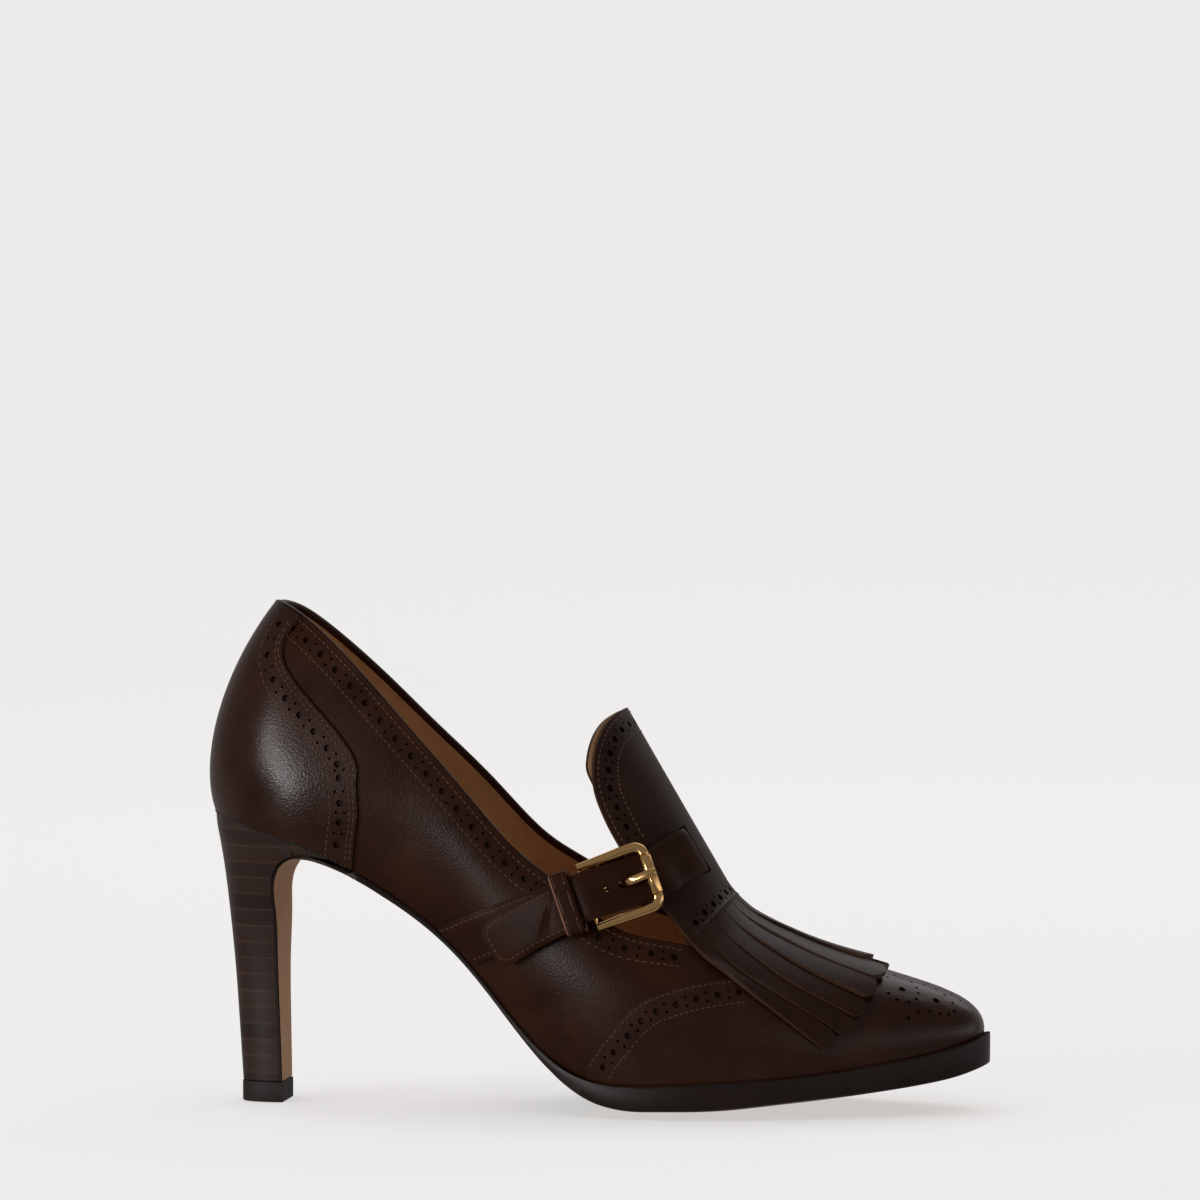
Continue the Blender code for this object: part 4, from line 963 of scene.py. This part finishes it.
for share in (0.1, 0.25, 0.4, 0.6, 0.8, 1.0):
    where = billet_line[0] - TAIL_LENGTH * share
    out = unit(billet_line[2](where))[0]
    drop = np.cross(heading(billet_line[1], where)[0], out) * TAIL_DROP * share
    strap_stops.append((billet_line[1](where)[0] + out * TAIL_LIFT + drop, out))
strap_line = route(strap_stops)
STRAP_HALF = STRAP_WIDTH / 2
strap_end = strap_line[0]


def tail_creases(flat):
    """Fan of soft ridges and troughs across the tail, just past the keeper."""
    back = strap_end - flat[:, 0]
    share = flat[:, 1] / STRAP_HALF
    relief = np.zeros(len(flat))
    for start, slant, depth in ((19.3, 7.2, -0.16), (20.2, 6.4, 0.22), (21.0, 5.7, -0.25), (21.8, 5.0, 0.22),
                                (22.6, 4.3, -0.18)):
        relief += depth * np.exp(-((back - start + slant * share) / 0.5) ** 2)
    return relief * (1 - np.abs(share) ** 4)


def strap_face(flat):
    return ribbon_face(strap_line, flat, STRAP_HALF, tail_creases(flat))


TAIL_CORNER = np.array(((4.0, 0.0), (2.6, 0.5), (1.2, 1.6), (0.3, 2.9), (0.0, 3.5)))     # back, in
corner = np.c_[strap_end - TAIL_CORNER[:, 0], STRAP_HALF - TAIL_CORNER[:, 1]]
corner_start = strap_end - 4.2
low_side = np.linspace((STRAP_ROOT - ROOT_SLANT, -STRAP_HALF), (corner_start, -STRAP_HALF), 170)
high_side = np.linspace((corner_start, STRAP_HALF), (STRAP_ROOT + ROOT_SLANT, STRAP_HALF), 170)
strap_low = np.vstack([low_side, corner * [1, -1]])
strap_high = np.vstack([corner[::-1], high_side])
strap_root = np.c_[STRAP_ROOT + ROOT_SLANT * wide, STRAP_HALF * wide][::-1][1:-1]
strap_tip = np.c_[np.full(8, strap_end), np.linspace(3.5 - STRAP_HALF, STRAP_HALF - 3.5, 8)][1:-1]
strap_border = np.vstack([strap_low, strap_tip, strap_high, strap_root])


def strap_spot(along):
    """Length of the strap at a place along the buckle from its centre."""
    lengths = np.linspace(strap_end * 0.5, strap_end, 800)
    gaps = np.linalg.norm(strap_line[1](lengths) - buckle_point(along, 0, 0.0), axis=1)
    return lengths[np.argmin(gaps)]


prong_slot = strap_spot(2.6)
spare_hole = strap_spot(-4.6)
round_turns = np.linspace(0, 2 * math.pi, 20, endpoint=False)
strap_holes = [np.c_[prong_slot + 3.0 * np.cos(round_turns), 1.45 * np.sin(round_turns)],
               np.c_[spare_hole + 0.85 * np.cos(round_turns), 0.85 * np.sin(round_turns)]]
crease_x, crease_y = np.meshgrid(strap_end - np.arange(12.0, 28.0, 0.45), np.arange(-6.6, 6.7, 0.6))
strap = cut_leather("strap_leather", strap_border, strap_holes, 1.1, strap_face, STRAP_THICK, strap_look,
                    np.c_[crease_x.ravel(), crease_y.ravel()])
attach(strap, "root")
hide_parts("strap")
tail_edge = np.vstack([strap_low[strap_low[:, 0] > strap_end - 33], strap_tip,
                       strap_high[strap_high[:, 0] > strap_end - 33]])
root_length = 42.0
strap_rows = [stitch_row(strap_face, tail_edge, 1.5, 1.9),
              stitch_row(strap_face, strap_low[strap_low[:, 0] < root_length], 1.5, 1.9),
              stitch_row(strap_face, strap_high[strap_high[:, 0] < root_length], 1.5, 1.9)]
strap_stitches = sewn("strap_stitches", strap_rows)
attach(strap_stitches, "root")


# Keeper: a narrow loop of calf round the billet and the tail, with its raw edges left light and two rows
# of stitches along it.
KEEPER_WIDTH = 5.5
KEEPER_THICK = 1.2
KEEPER_BACK = 3.2           # keeper's middle, back from the end of the billet
where = billet_line[0] - KEEPER_BACK
keeper_along = heading(billet_line[1], where)[0]
keeper_across = unit(np.cross(billet_line[2](where)[0], keeper_along))
keeper_out = np.cross(keeper_along, keeper_across)
keeper_middle = billet_line[1](where)[0] + keeper_out * (TAIL_LIFT / 2 + 0.15)


FACE_OUT = (bpy.ops.mesh.normals_make_consistent, {"inside": False})


def rounded(share, power):
    """Once round an ellipse, squarer for a smaller power: its two sides as shares of the half sizes."""
    angle = 2 * math.pi * share
    return [np.sign(side) * np.abs(side) ** power for side in (np.cos(angle), np.sin(angle))]


def keeper_face(flat):
    """Outer face of the loop: pattern x runs round it once in a unit, y along the strap in mm."""
    across, out = rounded(flat[:, 0], 0.3)
    edge = 1 - 0.035 * (np.abs(flat[:, 1]) / (KEEPER_WIDTH / 2)) ** 6
    across = across * (STRAP_WIDTH / 2 + 1.2 + KEEPER_THICK) * edge
    out = out * (TAIL_LIFT + 0.8 + KEEPER_THICK) * edge
    return (keeper_middle + across[:, None] * keeper_across + out[:, None] * keeper_out +
            flat[:, 1:2] * keeper_along)


def keeper_grid(round_share, along):
    return keeper_face(np.c_[round_share, (0.5 - along) * KEEPER_WIDTH])


# Cut edge of the keeper: undyed, a light reddish line along each of its sides.
keeper_edge_look = leather("keeper_cut_edge", "#8A5C46", "#9B6C55", 0.55, 0.0, 0.4, 0.04)
keeper_columns = 120
keeper = laid_grid("keeper_leather", keeper_columns, 12, keeper_grid, strap_look, keeper_edge_look)
for face in keeper.data.polygons[-keeper_columns:]:
    face.material_index = 1
edit_all(keeper, FACE_OUT)
thicken(keeper, KEEPER_THICK, 1)
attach(keeper, "root")
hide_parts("keeper")
keeper_rows = []
for aside in (-1.6, 1.6):
    flat = np.c_[np.linspace(0.06, 0.44, 14), np.full(14, aside)]
    keeper_rows.append((keeper_face(flat), np.tile(keeper_out, (14, 1))))
keeper_stitches = sewn("keeper_stitches", keeper_rows)
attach(keeper_stitches, "root")


# Roller buckle: a cast brass frame with soft square corners, its front bar carrying a turning tube and its
# hinge bar a prong that comes up through the strap; all gold plated and polished.
BUCKLE_CORNER = 3.0
FRAME_WIDE = 1.55           # half the bar, in the buckle's plane
FRAME_THICK = 1.25
# Gold plate over polished brass: warm yellow mirror with faint hairlines from the polishing wheel.
gold_look, gold_shader = new_look("polished_gold_plate")
spot = add_node(gold_look, "TexCoord", out="Object")
hairlines = add_node(gold_look, "TexNoise", Vector=spot, Scale=1 / (0.9 * MM), Detail=2.0, Roughness=0.7)
polish = add_node(gold_look, "MapRange", Value=hairlines, To_Min=0.14, To_Max=0.2)
plate = blend(gold_look, hairlines, linear("#F5BC74"), linear("#FDD090"))
feed(gold_look, gold_shader, Metallic=1.0, Roughness=polish, Base_Color=plate)


def rod(name, rows, wide, thick, power, columns, sides, edge_on=None):
    """Metal bar through rows of a place on the buckle and a size, its section a rounded rectangle."""
    points = np.array([buckle_point(*row[:3]) for row in rows])
    knots = run(points)
    path = cubic(knots, points)

    def place(along, around):
        where = along * knots[-1]
        ahead = heading(path, where, 0.02)
        flat_side = unit(np.cross(buckle_out, ahead))
        if edge_on is not None:
            flat_side = np.tile(edge_on, (len(ahead), 1))
        size = np.interp(where, knots, [row[3] for row in rows])[:, None]
        level, high = rounded(around, power)
        section = flat_side * (wide * level)[:, None] + np.cross(ahead, flat_side) * (thick * high)[:, None]
        return path(where) + size * section
    piece = laid_grid(name, columns, sides, place, gold_look)
    edit_all(piece, FACE_OUT)
    thicken(piece)
    return piece


BAR_END = BUCKLE_LONG + 0.4     # the side bars run past the hinge bar and are cut square
TIP = 0.02                      # size and length of a bar's closed end
SIDE_BAR = ((-BAR_END - TIP, TIP), (-BAR_END, 0.66), (-0.3 * BAR_END, 0.86))     # along, size
straight = BUCKLE_WIDE - BUCKLE_CORNER
frame_rows = [(along, -BUCKLE_WIDE, 0, size) for along, size in SIDE_BAR]
for side in (-1, 1):
    for step in range(9):
        angle = math.radians((-90 if side < 0 else 0) + step * 11.25)
        frame_rows.append((BUCKLE_LONG - BUCKLE_CORNER + BUCKLE_CORNER * math.cos(angle),
                           side * straight + BUCKLE_CORNER * math.sin(angle), 0, 1.0))
    if side < 0:
        frame_rows += [(BUCKLE_LONG, y, 0, 0.62) for y in (-straight + 1.2, straight - 1.2)]
frame_rows += [(along, BUCKLE_WIDE, 0, size) for along, size in SIDE_BAR[::-1]]
buckle_frame = rod("buckle_frame_plate", frame_rows, FRAME_WIDE, FRAME_THICK, 0.75, 240, 24)
hinge_y = np.linspace(-BUCKLE_WIDE, BUCKLE_WIDE, 7)
hinge_rows = [(-BUCKLE_LONG, y, 0, TIP if abs(y) == BUCKLE_WIDE else 1.0) for y in hinge_y]
hinge = rod("hinge_bar", hinge_rows, 0.9, 0.75, 0.9, 40, 16)
pick(hinge, buckle_frame)
bpy.ops.object.join()
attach(buckle_frame, "root")
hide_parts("buckle_frame")

ROLLER_PROFILE = (      # radius, to one side
    (1.14, 5.9), (1.72, 5.9), (1.86, 5.72), (1.86, -5.72), (1.72, -5.9), (1.14, -5.9), (1.14, 5.9),
)


def at_share(table, share):
    """Columns of a table at a share of the way down its rows."""
    return between(share, np.linspace(0, 1, len(table)), table).T


def roller_place(around, profile):
    radius, side = at_share(ROLLER_PROFILE, profile)
    angle = 2 * math.pi * around
    ring = np.cos(angle)[:, None] * buckle_along + np.sin(angle)[:, None] * buckle_out
    return buckle_point(BUCKLE_LONG, 0, 0) + ring * radius[:, None] + side[:, None] * buckle_across


buckle_roller = laid_grid("buckle_roller_tube", 40, 6, roller_place, gold_look)
edit_all(buckle_roller, FACE_OUT)
thicken(buckle_roller)
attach(buckle_roller, "root")
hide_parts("buckle_roller")

EYE = 1.69                  # radius of the prong's eye round the hinge bar
PRONG = (               # along, out, size, from the eye to the tip
    (-7.4, -0.9, 0.8), (-4.0, -1.4, 0.9), (-1.0, -1.6, 0.9), (1.2, -1.0, 0.95), (2.2, 0.0, 1.0),
    (3.2, 1.2, 1.0), (4.6, 2.0, 1.0), (6.5, 2.5, 1.0), (8.5, 2.9, 1.0), (10.0, 3.05, 1.0),
    (11.3, 3.0, 0.98), (11.9, 2.95, 0.8), (12.1, 2.9, TIP),
)
prong_rows = []
for step in range(9):
    angle = math.radians(60 + step * 32)
    size = 0.6 if step else TIP
    prong_rows.append((-BUCKLE_LONG + EYE * math.cos(angle), 0, EYE * math.sin(angle), size))
prong_rows += [(along, 0, out, size) for along, out, size in PRONG]
buckle_prong = rod("buckle_prong_bar", prong_rows, 1.3, 1.0, 0.7, 130, 18, buckle_across)
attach(buckle_prong, "root")
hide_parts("buckle_prong")


# Outsole: leather sole under the feather edge, its edge trimmed, dyed dark and burnished, its underside
# left tan. Behind the waist it thins and turns down as the flap over the heel's breast.
GAP = 0.3
FLAP = 1.0                  # skived thinner than the sole, so that its edge shows as a line
WELT_WAIST, WELT_FORE, WELT_TOE = 0.7, 2.3, 0.4     # out past the feather edge, and what is added forward
LIFT_HEIGHT = 6.3
BREAST = (              # x, z, half width, heel back x, heel back z, from the waist down to the lift
    (-79.0, 73.6, 25.0, -117.0, 89.0), (-86.0, 75.2, 23.0, -116.6, 85.5), (-92.5, 74.2, 20.4, -115.7, 81.0),
    (-96.0, 69.8, 17.4, -114.6, 74.0), (-96.6, 60.0, 13.8, -113.3, 62.5), (-96.5, 45.0, 10.9, -111.7, 45.5),
    (-96.2, 25.0, 9.2, -110.3, 25.0), (-95.8, LIFT_HEIGHT + GAP, 8.3, -109.2, LIFT_HEIGHT + GAP),
)
waist = [(x, sole_side([x])[0, 1], 24.8) + BREAST[0][3:] for x in (-62.0, -70.8)]
breast_table = np.array(waist + list(BREAST))
breast_knots = run(breast_table[:, :2])
breast_path = cubic(breast_knots, breast_table)


def breast_row(share):
    """Flap's outer face, the way into the heel, half width and the heel's back, down the breast."""
    where = breast_knots[1] + (breast_knots[-1] - breast_knots[1]) * share
    ahead = breast_path(where + 0.05) - breast_path(where - 0.05)
    inward = unit(np.c_[ahead[:, 1], -ahead[:, 0]])
    place = breast_path(where)
    return place[:, :2], inward, place[:, 2], place[:, 3:5]


EDGE_PROFILE = (        # depth as a share of the edge, in from the edge: top, trimmed edge, underside
    (0.0, 1.4), (0.0, 0.55), (0.05, 0.12), (0.14, 0.0), (0.5, -0.12), (0.84, 0.0), (0.95, 0.3), (1.0, 1.0),
)
EDGE_RISE = np.array((  # x, rise of the edge's top and of its bottom, where the sole curves up to its edge
    (-62.0, 0.0, 0.0), (-31.0, 0.2, 1.0), (-6.0, 0.4, 1.4), (7.0, 0.8, 2.0), (19.0, 1.5, 2.4),
    (37.0, 1.8, 2.7), (55.0, 1.6, 2.6), (78.0, 1.4, 2.0), (90.0, 1.3, 1.2), (102.0, 1.2, 0.2),
    (113.0, 1.2, -0.8), (120.0, 1.2, -1.0),
))
WAIST_X = EDGE_RISE[0, 0]   # behind this the sole lies flat to its edge
edge_rise = cubic(EDGE_RISE[:, 0], EDGE_RISE[:, 1:])
waist_end = station_u[SHANK] + 0.052
sole_rings = []
for u in np.r_[np.linspace(0.0005, 0.06, 26), np.linspace(0.064, waist_end, 110)]:
    (foot_l, foot_m), (out_l, out_m) = feather([-u, u])
    x = foot_l[0]
    fore = float(ease((x + 18) / 26))
    welt = WELT_WAIST + WELT_FORE * fore + WELT_TOE * np.clip((x - 96) / 18, 0, 1) ** 2
    lateral = (foot_l + out_l * welt)[:2]
    medial = (foot_m + out_m * welt)[:2]
    reach = np.linalg.norm(medial - lateral)
    lean = unit(medial - lateral)
    points = []
    for side, toward in ((lateral, lean), (medial, -lean)):
        column = []
        for depth, inset in EDGE_PROFILE:
            inset = inset + (2.2 * (1 - fore) if depth > 0.9 else 0.0)
            plan = side + toward * min(inset, reach * 0.45)
            high = sole_side(plan[0:1])[0, 0]
            low = np.maximum(sole_side(plan[0] + np.linspace(-8, 8, 9))[:, 1], 0.0).mean() + 0.02
            top_rise, low_rise = edge_rise(np.maximum(plan[0:1], WAIST_X))[0]
            high = high - GAP + (top_rise if inset < 1 else 0.0)
            low = low + low_rise
            column.append((*plan, high + (low - high) * depth))
        points.append(column)
    sole_rings.append(points)
shares = np.linspace(0.02, 1.0, 70)
for share, place, inward, half, _ in zip(shares, *breast_row(shares)):
    half = half - 1.3 * math.exp(-((share - 0.24) / 0.07) ** 2)
    points = []
    for sign in (-1, 1):
        column = []
        for depth, inset in EDGE_PROFILE:
            spot = place + inward * FLAP * (1 - depth)
            column.append((spot[0], sign * (half - 0.35 * inset), spot[1]))
        points.append(column)
    sole_rings.append(points)
loops = []
for lateral, medial in sole_rings:
    lateral, medial = np.array(lateral), np.array(medial)
    under = np.linspace(lateral[-1], medial[-1], 16)[1:-1]
    if lateral[-1, 0] > WAIST_X:
        camber = max(edge_rise(lateral[-1, :1])[0, 1], 0.0)
        under[:, 2] -= camber * (1 - np.linspace(-1, 1, 16)[1:-1] ** 2)
    top = np.linspace(medial[0], lateral[0], 10)[1:-1]
    loops.append(np.vstack([lateral, under, medial[::-1], top, lateral[:1]]))
loops = np.array(loops)


def sole_place(along, around):
    i = np.rint(along * (len(loops) - 1)).astype(int)
    j = np.rint(around * (loops.shape[1] - 1)).astype(int)
    return loops[i, j]


FILL = (bpy.ops.mesh.fill_holes, {"sides": 0})
# Dyed and waxed sole edge: almost black, satin, with faint scouring marks along it.
edge_look = leather("burnished_sole_edge", "#1E110C", "#281812", 0.42, 0.06, 0.5, 0.04)
# Natural sole leather: pale beige, smooth and dry.
tan_sole_look = leather("natural_sole_leather", "#D2A276", "#DDB088", 0.55, 0.0, 0.5, 0.03)
sole_columns = len(loops) - 1
outsole = laid_grid("outsole_leather", sole_columns, loops.shape[1] - 1, sole_place, edge_look, tan_sole_look)
edit_all(outsole, FILL, FACE_OUT)
FOREPART, FLAP_START = -20.0, -66.0     # x where the forepart ends and where the flap starts
UNDER_ROWS = range(9, 20)               # rows of the grid that make the waist's underside
flap_face = breast_row(np.linspace(0, 1, 400))[0]
for index, face in enumerate(outsole.data.polygons):
    x, _, z = np.array(face.center) / MM - CENTRE
    if x > FOREPART:
        tan = face.normal.z < -0.9 and z < sole_side([x])[0, 1] + 3.4
    elif x > FLAP_START:
        tan = index // sole_columns in UNDER_ROWS
    else:
        tan = abs(face.normal.y) < 0.7 and np.linalg.norm(flap_face - [x, z], axis=1).min() < 0.3
    face.material_index = int(tan)
thicken(outsole)
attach(outsole, "root")
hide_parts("outsole")


# Heel: tall slim heel of stacked wood-grained lifts, turned to a D-section, stained dark and lacquered.
# It stands behind the sole's flap, and a near-black waxed seam closes it against the counter; its dark is
# partly painted shade in the joint.
HEEL_ROUNDNESS = 0.8        # 1 is an ellipse, less is squarer
SEAT_RIM = 0.9
LAYER = 5.0                 # height of one lift of the stack
BACK_SHARE = 0.8            # of the way round the heel; the rest runs across its flat breast
seat_turn = station_u[HEEL_FRONT]


def heel_plan(around):
    """Shares round the back and across the breast, then depth and width of the heel's plan."""
    behind = np.clip(around / BACK_SHARE, 0, 1)
    breast = np.clip((around - BACK_SHARE) / (1 - BACK_SHARE), 0, 1)
    width, depth = rounded(behind / 2, HEEL_ROUNDNESS)
    return behind, breast, depth, width + 2 * breast


def heel_place(around, rise):
    behind, breast, depth, width = heel_plan(around)
    place, inward, half, back = breast_row(1.0 - 0.97 * rise)
    front = place + inward * (FLAP + 0.05)
    side_view = front + (back - front) * depth[:, None]
    body = np.c_[side_view[:, 0], -half * width, side_view[:, 1]]
    foot, out = feather(-seat_turn + (2 * seat_turn - 2) * behind)
    rim = foot + out * SEAT_RIM
    rim[:, 1] -= 2 * breast * rim[:, 1]
    rim[:, 2] = sole_side(rim[:, 0])[:, 0] - GAP + 0.4 * depth * (breast == 0)
    return body + (rim - body) * ease((rise - 0.8) / 0.2)[:, None]


# Stacked wood: each lift takes the stain a little differently and is redder along one edge; lacquered.
stack_look, stack_shader = new_look("stacked_stained_wood")
spot = add_node(stack_look, "TexCoord", out="Object")
wander = add_node(stack_look, "TexNoise", Vector=spot, Scale=1 / (9 * MM), Detail=2.0)
height = add_node(stack_look, "SeparateXYZ", spot, out="Z")
shift = add_node(stack_look, "Math", wander, 0.9 * MM, height, operation="MULTIPLY_ADD")
layers = add_node(stack_look, "Math", shift, LAYER * MM, operation="DIVIDE")
layer = add_node(stack_look, "Math", layers, operation="FLOOR")
up_layer = add_node(stack_look, "Math", layers, operation="FRACT")
tint = add_node(stack_look, "TexWhiteNoise", W=layer, noise_dimensions="1D")
fibre_spot = add_node(stack_look, "Mapping", Vector=spot, Scale=(1.0, 1.0, 14.0))
fibre = add_node(stack_look, "TexNoise", Vector=fibre_spot, Scale=1 / (5 * MM), Detail=4.0, Roughness=0.65)
shade = add_node(stack_look, "Math", tint, 0.55, operation="MULTIPLY")
mixed = add_node(stack_look, "Math", fibre, 0.75, shade, operation="MULTIPLY_ADD")
stain = add_node(stack_look, "MapRange", Value=mixed, From_Min=0.2, From_Max=1.0)
wood = blend(stack_look, stain, linear("#271914"), linear("#412C24"))
glue = add_node(stack_look, "MapRange", Value=up_layer, From_Min=0.8, From_Max=0.97, To_Max=0.5)
ridges = add_node(stack_look, "Bump", Height=fibre, Strength=0.35, Distance=0.06 * MM)
feed(stack_look, stack_shader, Base_Color=blend(stack_look, glue, wood, linear("#5E4034")), Normal=ridges,
     Roughness=0.38, Specular_IOR_Level=0.3, Coat_Weight=0.14, Coat_Roughness=0.2)
heel = laid_grid("heel_stack", 90, 110, heel_place, stack_look)
edit_all(heel, FILL, FACE_OUT)
thicken(heel)
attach(heel, "root")
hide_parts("heel")
SEAM_AND_SHADE = 0.3                  # radius of the seam
seat_line = overlay_face(low_edge)


def seam_and_shade_place(along, around):
    middle = at_share(seat_line, along).T
    _, out = feather(at_share(low_edge, along)[0])
    angle = 2 * math.pi * around[:, None]
    return middle + SEAM_AND_SHADE * (np.cos(angle) * out + np.sin(angle) * [[0.0, 0.0, 1.0]]) - [0.0, 0.0, SEAM_AND_SHADE / 2]


# Waxed seam where the counter meets the heel: a thin line, almost black, partly its own dark wax and partly
# painted shade in the joint.
seam_and_shade_look = leather("waxed_seat_seam_and_shade", "#0E0806", "#150D0A", 0.45, 0.0, 0.5, 0.02)
seat_seam_and_shade = laid_grid("heel_seat_seam_and_shade", 110, 8, seam_and_shade_place, seam_and_shade_look)
edit_all(seat_seam_and_shade, FILL, FACE_OUT)
thicken(seat_seam_and_shade)
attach(seat_seam_and_shade, "root")


# Top piece: the moulded rubber lift nailed under the heel, its corners softened by the mould. It stands
# a little way out past the heel's foot.
LIFT_FRONT, LIFT_HALF, LIFT_BACK = BREAST[-1][0] + 0.2, BREAST[-1][2] + 0.2, BREAST[-1][3] - 0.2
LIFT_PROFILE = (        # up, in from the edge
    (0.0, 1.0), (0.0, 0.35), (0.12, 0.1), (0.4, 0.0), (5.9, 0.0), (6.2, 0.1), (6.3, 0.35), (6.3, 1.0),
)


def lift_place(around, profile):
    z, inset = at_share(LIFT_PROFILE, profile)
    _, _, depth, width = heel_plan(around)
    centre = np.array([(LIFT_FRONT + LIFT_BACK) / 2, 0.0])
    plan = np.c_[LIFT_FRONT + (LIFT_BACK - LIFT_FRONT) * depth, -LIFT_HALF * width]
    plan = plan + (centre - plan) * (inset / 7.0)[:, None]
    return np.c_[plan, z]


# Hard nitrile rubber: dark warm grey, matt, faintly speckled from the mould.
rubber_look = leather("moulded_rubber", "#2A2522", "#342E2A", 0.55, 0.0, 0.35, 0.03)
lift = laid_grid("top_piece_rubber", 100, 7, lift_place, rubber_look)
edit_all(lift, FILL, FACE_OUT)
thicken(lift)
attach(lift, "root")
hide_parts("top_piece")


# Studio: a pale paper sweep, a strip box on the left, a soft box above and behind, and a long lens at the
# shoe's side.
VIEW_TURN, VIEW_DIP = math.radians(8.0), math.radians(4.8)
FRAME_SIDE = 0.3647         # width of the picture at the shoe
VIEW_FAR = 2.0
SENSOR = 36.0
AIM_UP = 0.06               # height of the optical axis at the shoe, along the picture's up
CENTRE_RIGHT, CENTRE_UP = 0.00073, 0.1533


SWEEP = np.array((      # share of the paper, depth, rise, in metres
    (0.0, -4.0, 0.0), (0.5, 1.6, 0.0), (0.55, 1.95, 0.03), (0.65, 2.3, 0.2), (0.75, 2.45, 0.6),
    (0.8, 2.5, 1.0), (1.0, 2.5, 4.0),
))
SWEEP_WIDE = 9.0


def sweep_place(across, back):
    depth, rise = between(back, SWEEP[:, 0], SWEEP[:, 1:]).T
    return np.c_[(across - 0.5) * SWEEP_WIDE, depth, rise] / MM - CENTRE


# Matt background paper, lit and given a glow so that it stays evenly pale far behind the shoe and throws
# little light back; round the shoe ambient occlusion dims the glow as a painted contact shadow.
paper_look, paper_shader = new_look("background_paper")
white = linear("#F0EEED")
spot = add_node(paper_look, "TexCoord", out="Object")
axes = add_node(paper_look, "SeparateXYZ", spot).node.outputs
wash = add_node(paper_look, "MapRange", Value=axes["Z"], From_Min=0.1, From_Max=1.0, To_Min=0.86, To_Max=0.91)
# Painted contact shadow: the glow is dimmed where ambient occlusion finds the shoe close above the paper.
open_sky = add_node(paper_look, "AmbientOcclusion", Distance=0.08, out="AO")
shadow = add_node(paper_look, "MapRange", Value=open_sky, From_Min=0.15, From_Max=0.97, To_Min=0.72)
glow = add_node(paper_look, "Math", wash, shadow, operation="MULTIPLY")
feed(paper_look, paper_shader, Base_Color=linear("#8F8E8E"), Roughness=0.9, Specular_IOR_Level=0.0,
     Emission_Color=white, Emission_Strength=glow)
thrown = add_node(paper_look, "MapRange", Value=axes["Y"], From_Min=-0.6, From_Max=0.2,
                  To_Min=0.08, To_Max=0.3)
bounce = add_node(paper_look, "Emission", Color=white, Strength=thrown)
seen = add_node(paper_look, "LightPath", out="Is Camera Ray")
paper = add_node(paper_look, "MixShader", seen, bounce, paper_shader.outputs[0])
feed(paper_look, paper_look.node_tree.nodes["Material Output"], Surface=paper)
sweep = laid_grid("paper_sweep", 4, 60, sweep_place, paper_look)
sweep.data.shade_smooth()

right = np.array([math.cos(VIEW_TURN), math.sin(VIEW_TURN), 0.0])
back = np.array([math.sin(VIEW_TURN) * math.cos(VIEW_DIP), -math.cos(VIEW_TURN) * math.cos(VIEW_DIP),
                 math.sin(VIEW_DIP)])
upward = np.cross(back, right)
aim = CENTRE * MM + right * CENTRE_RIGHT + upward * AIM_UP
bpy.ops.object.camera_add(location=tuple(aim + back * VIEW_FAR))
camera = bpy.context.object
camera.rotation_euler = Vector(back).to_track_quat("Z", "Y").to_euler()
camera.data.sensor_width = SENSOR
camera.data.lens = SENSOR * VIEW_FAR / FRAME_SIDE
camera.data.shift_y = (CENTRE_UP - AIM_UP) / FRAME_SIDE
camera.data.clip_end = 50.0
bpy.context.scene.camera = camera

LAMPS = (               # name, place, width, height, roll, power
    ("left_strip_box", (-0.93, -1.14, 0.2), 1.1, 0.05, -0.5, 8.5),
    ("top_soft_box", (0.1, 1.1, 1.5), 2.0, 2.0, 0.0, 9.0),
)
for name, place, wide, high, roll, power in LAMPS:
    bpy.ops.object.light_add(type="AREA", location=place)
    lamp = bpy.context.object
    lamp.name = name
    lamp.data.shape = "RECTANGLE"
    lamp.data.size = wide
    lamp.data.size_y = high
    lamp.data.energy = power
    facing = (Vector(place) - Vector((0.0, 0.0, 0.06))).to_track_quat("Z", "Y")
    lamp.rotation_euler = (facing @ Quaternion((0.0, 0.0, 1.0), roll)).to_euler()

# Walls of the studio: pale low on the right, dark on the side where the camera stands.
studio = bpy.data.worlds.new("studio")
bpy.context.scene.world = studio
studio.use_nodes = True
spot = add_node(studio, "TexCoord", out="Generated")
way = add_node(studio, "SeparateXYZ", spot).node.outputs
from_right = add_node(studio, "MapRange", Value=way["X"], From_Min=0.3, From_Max=0.95)
low_down = add_node(studio, "MapRange", Value=way["Z"], From_Min=0.1, From_Max=0.4, To_Min=1.2, To_Max=0.0)
wall_light = add_node(studio, "Math", from_right, low_down, 0.2, operation="MULTIPLY_ADD")
feed(studio, studio.node_tree.nodes["Background"], Color=white, Strength=wall_light)
bpy.context.scene.view_settings.view_transform = "Standard"
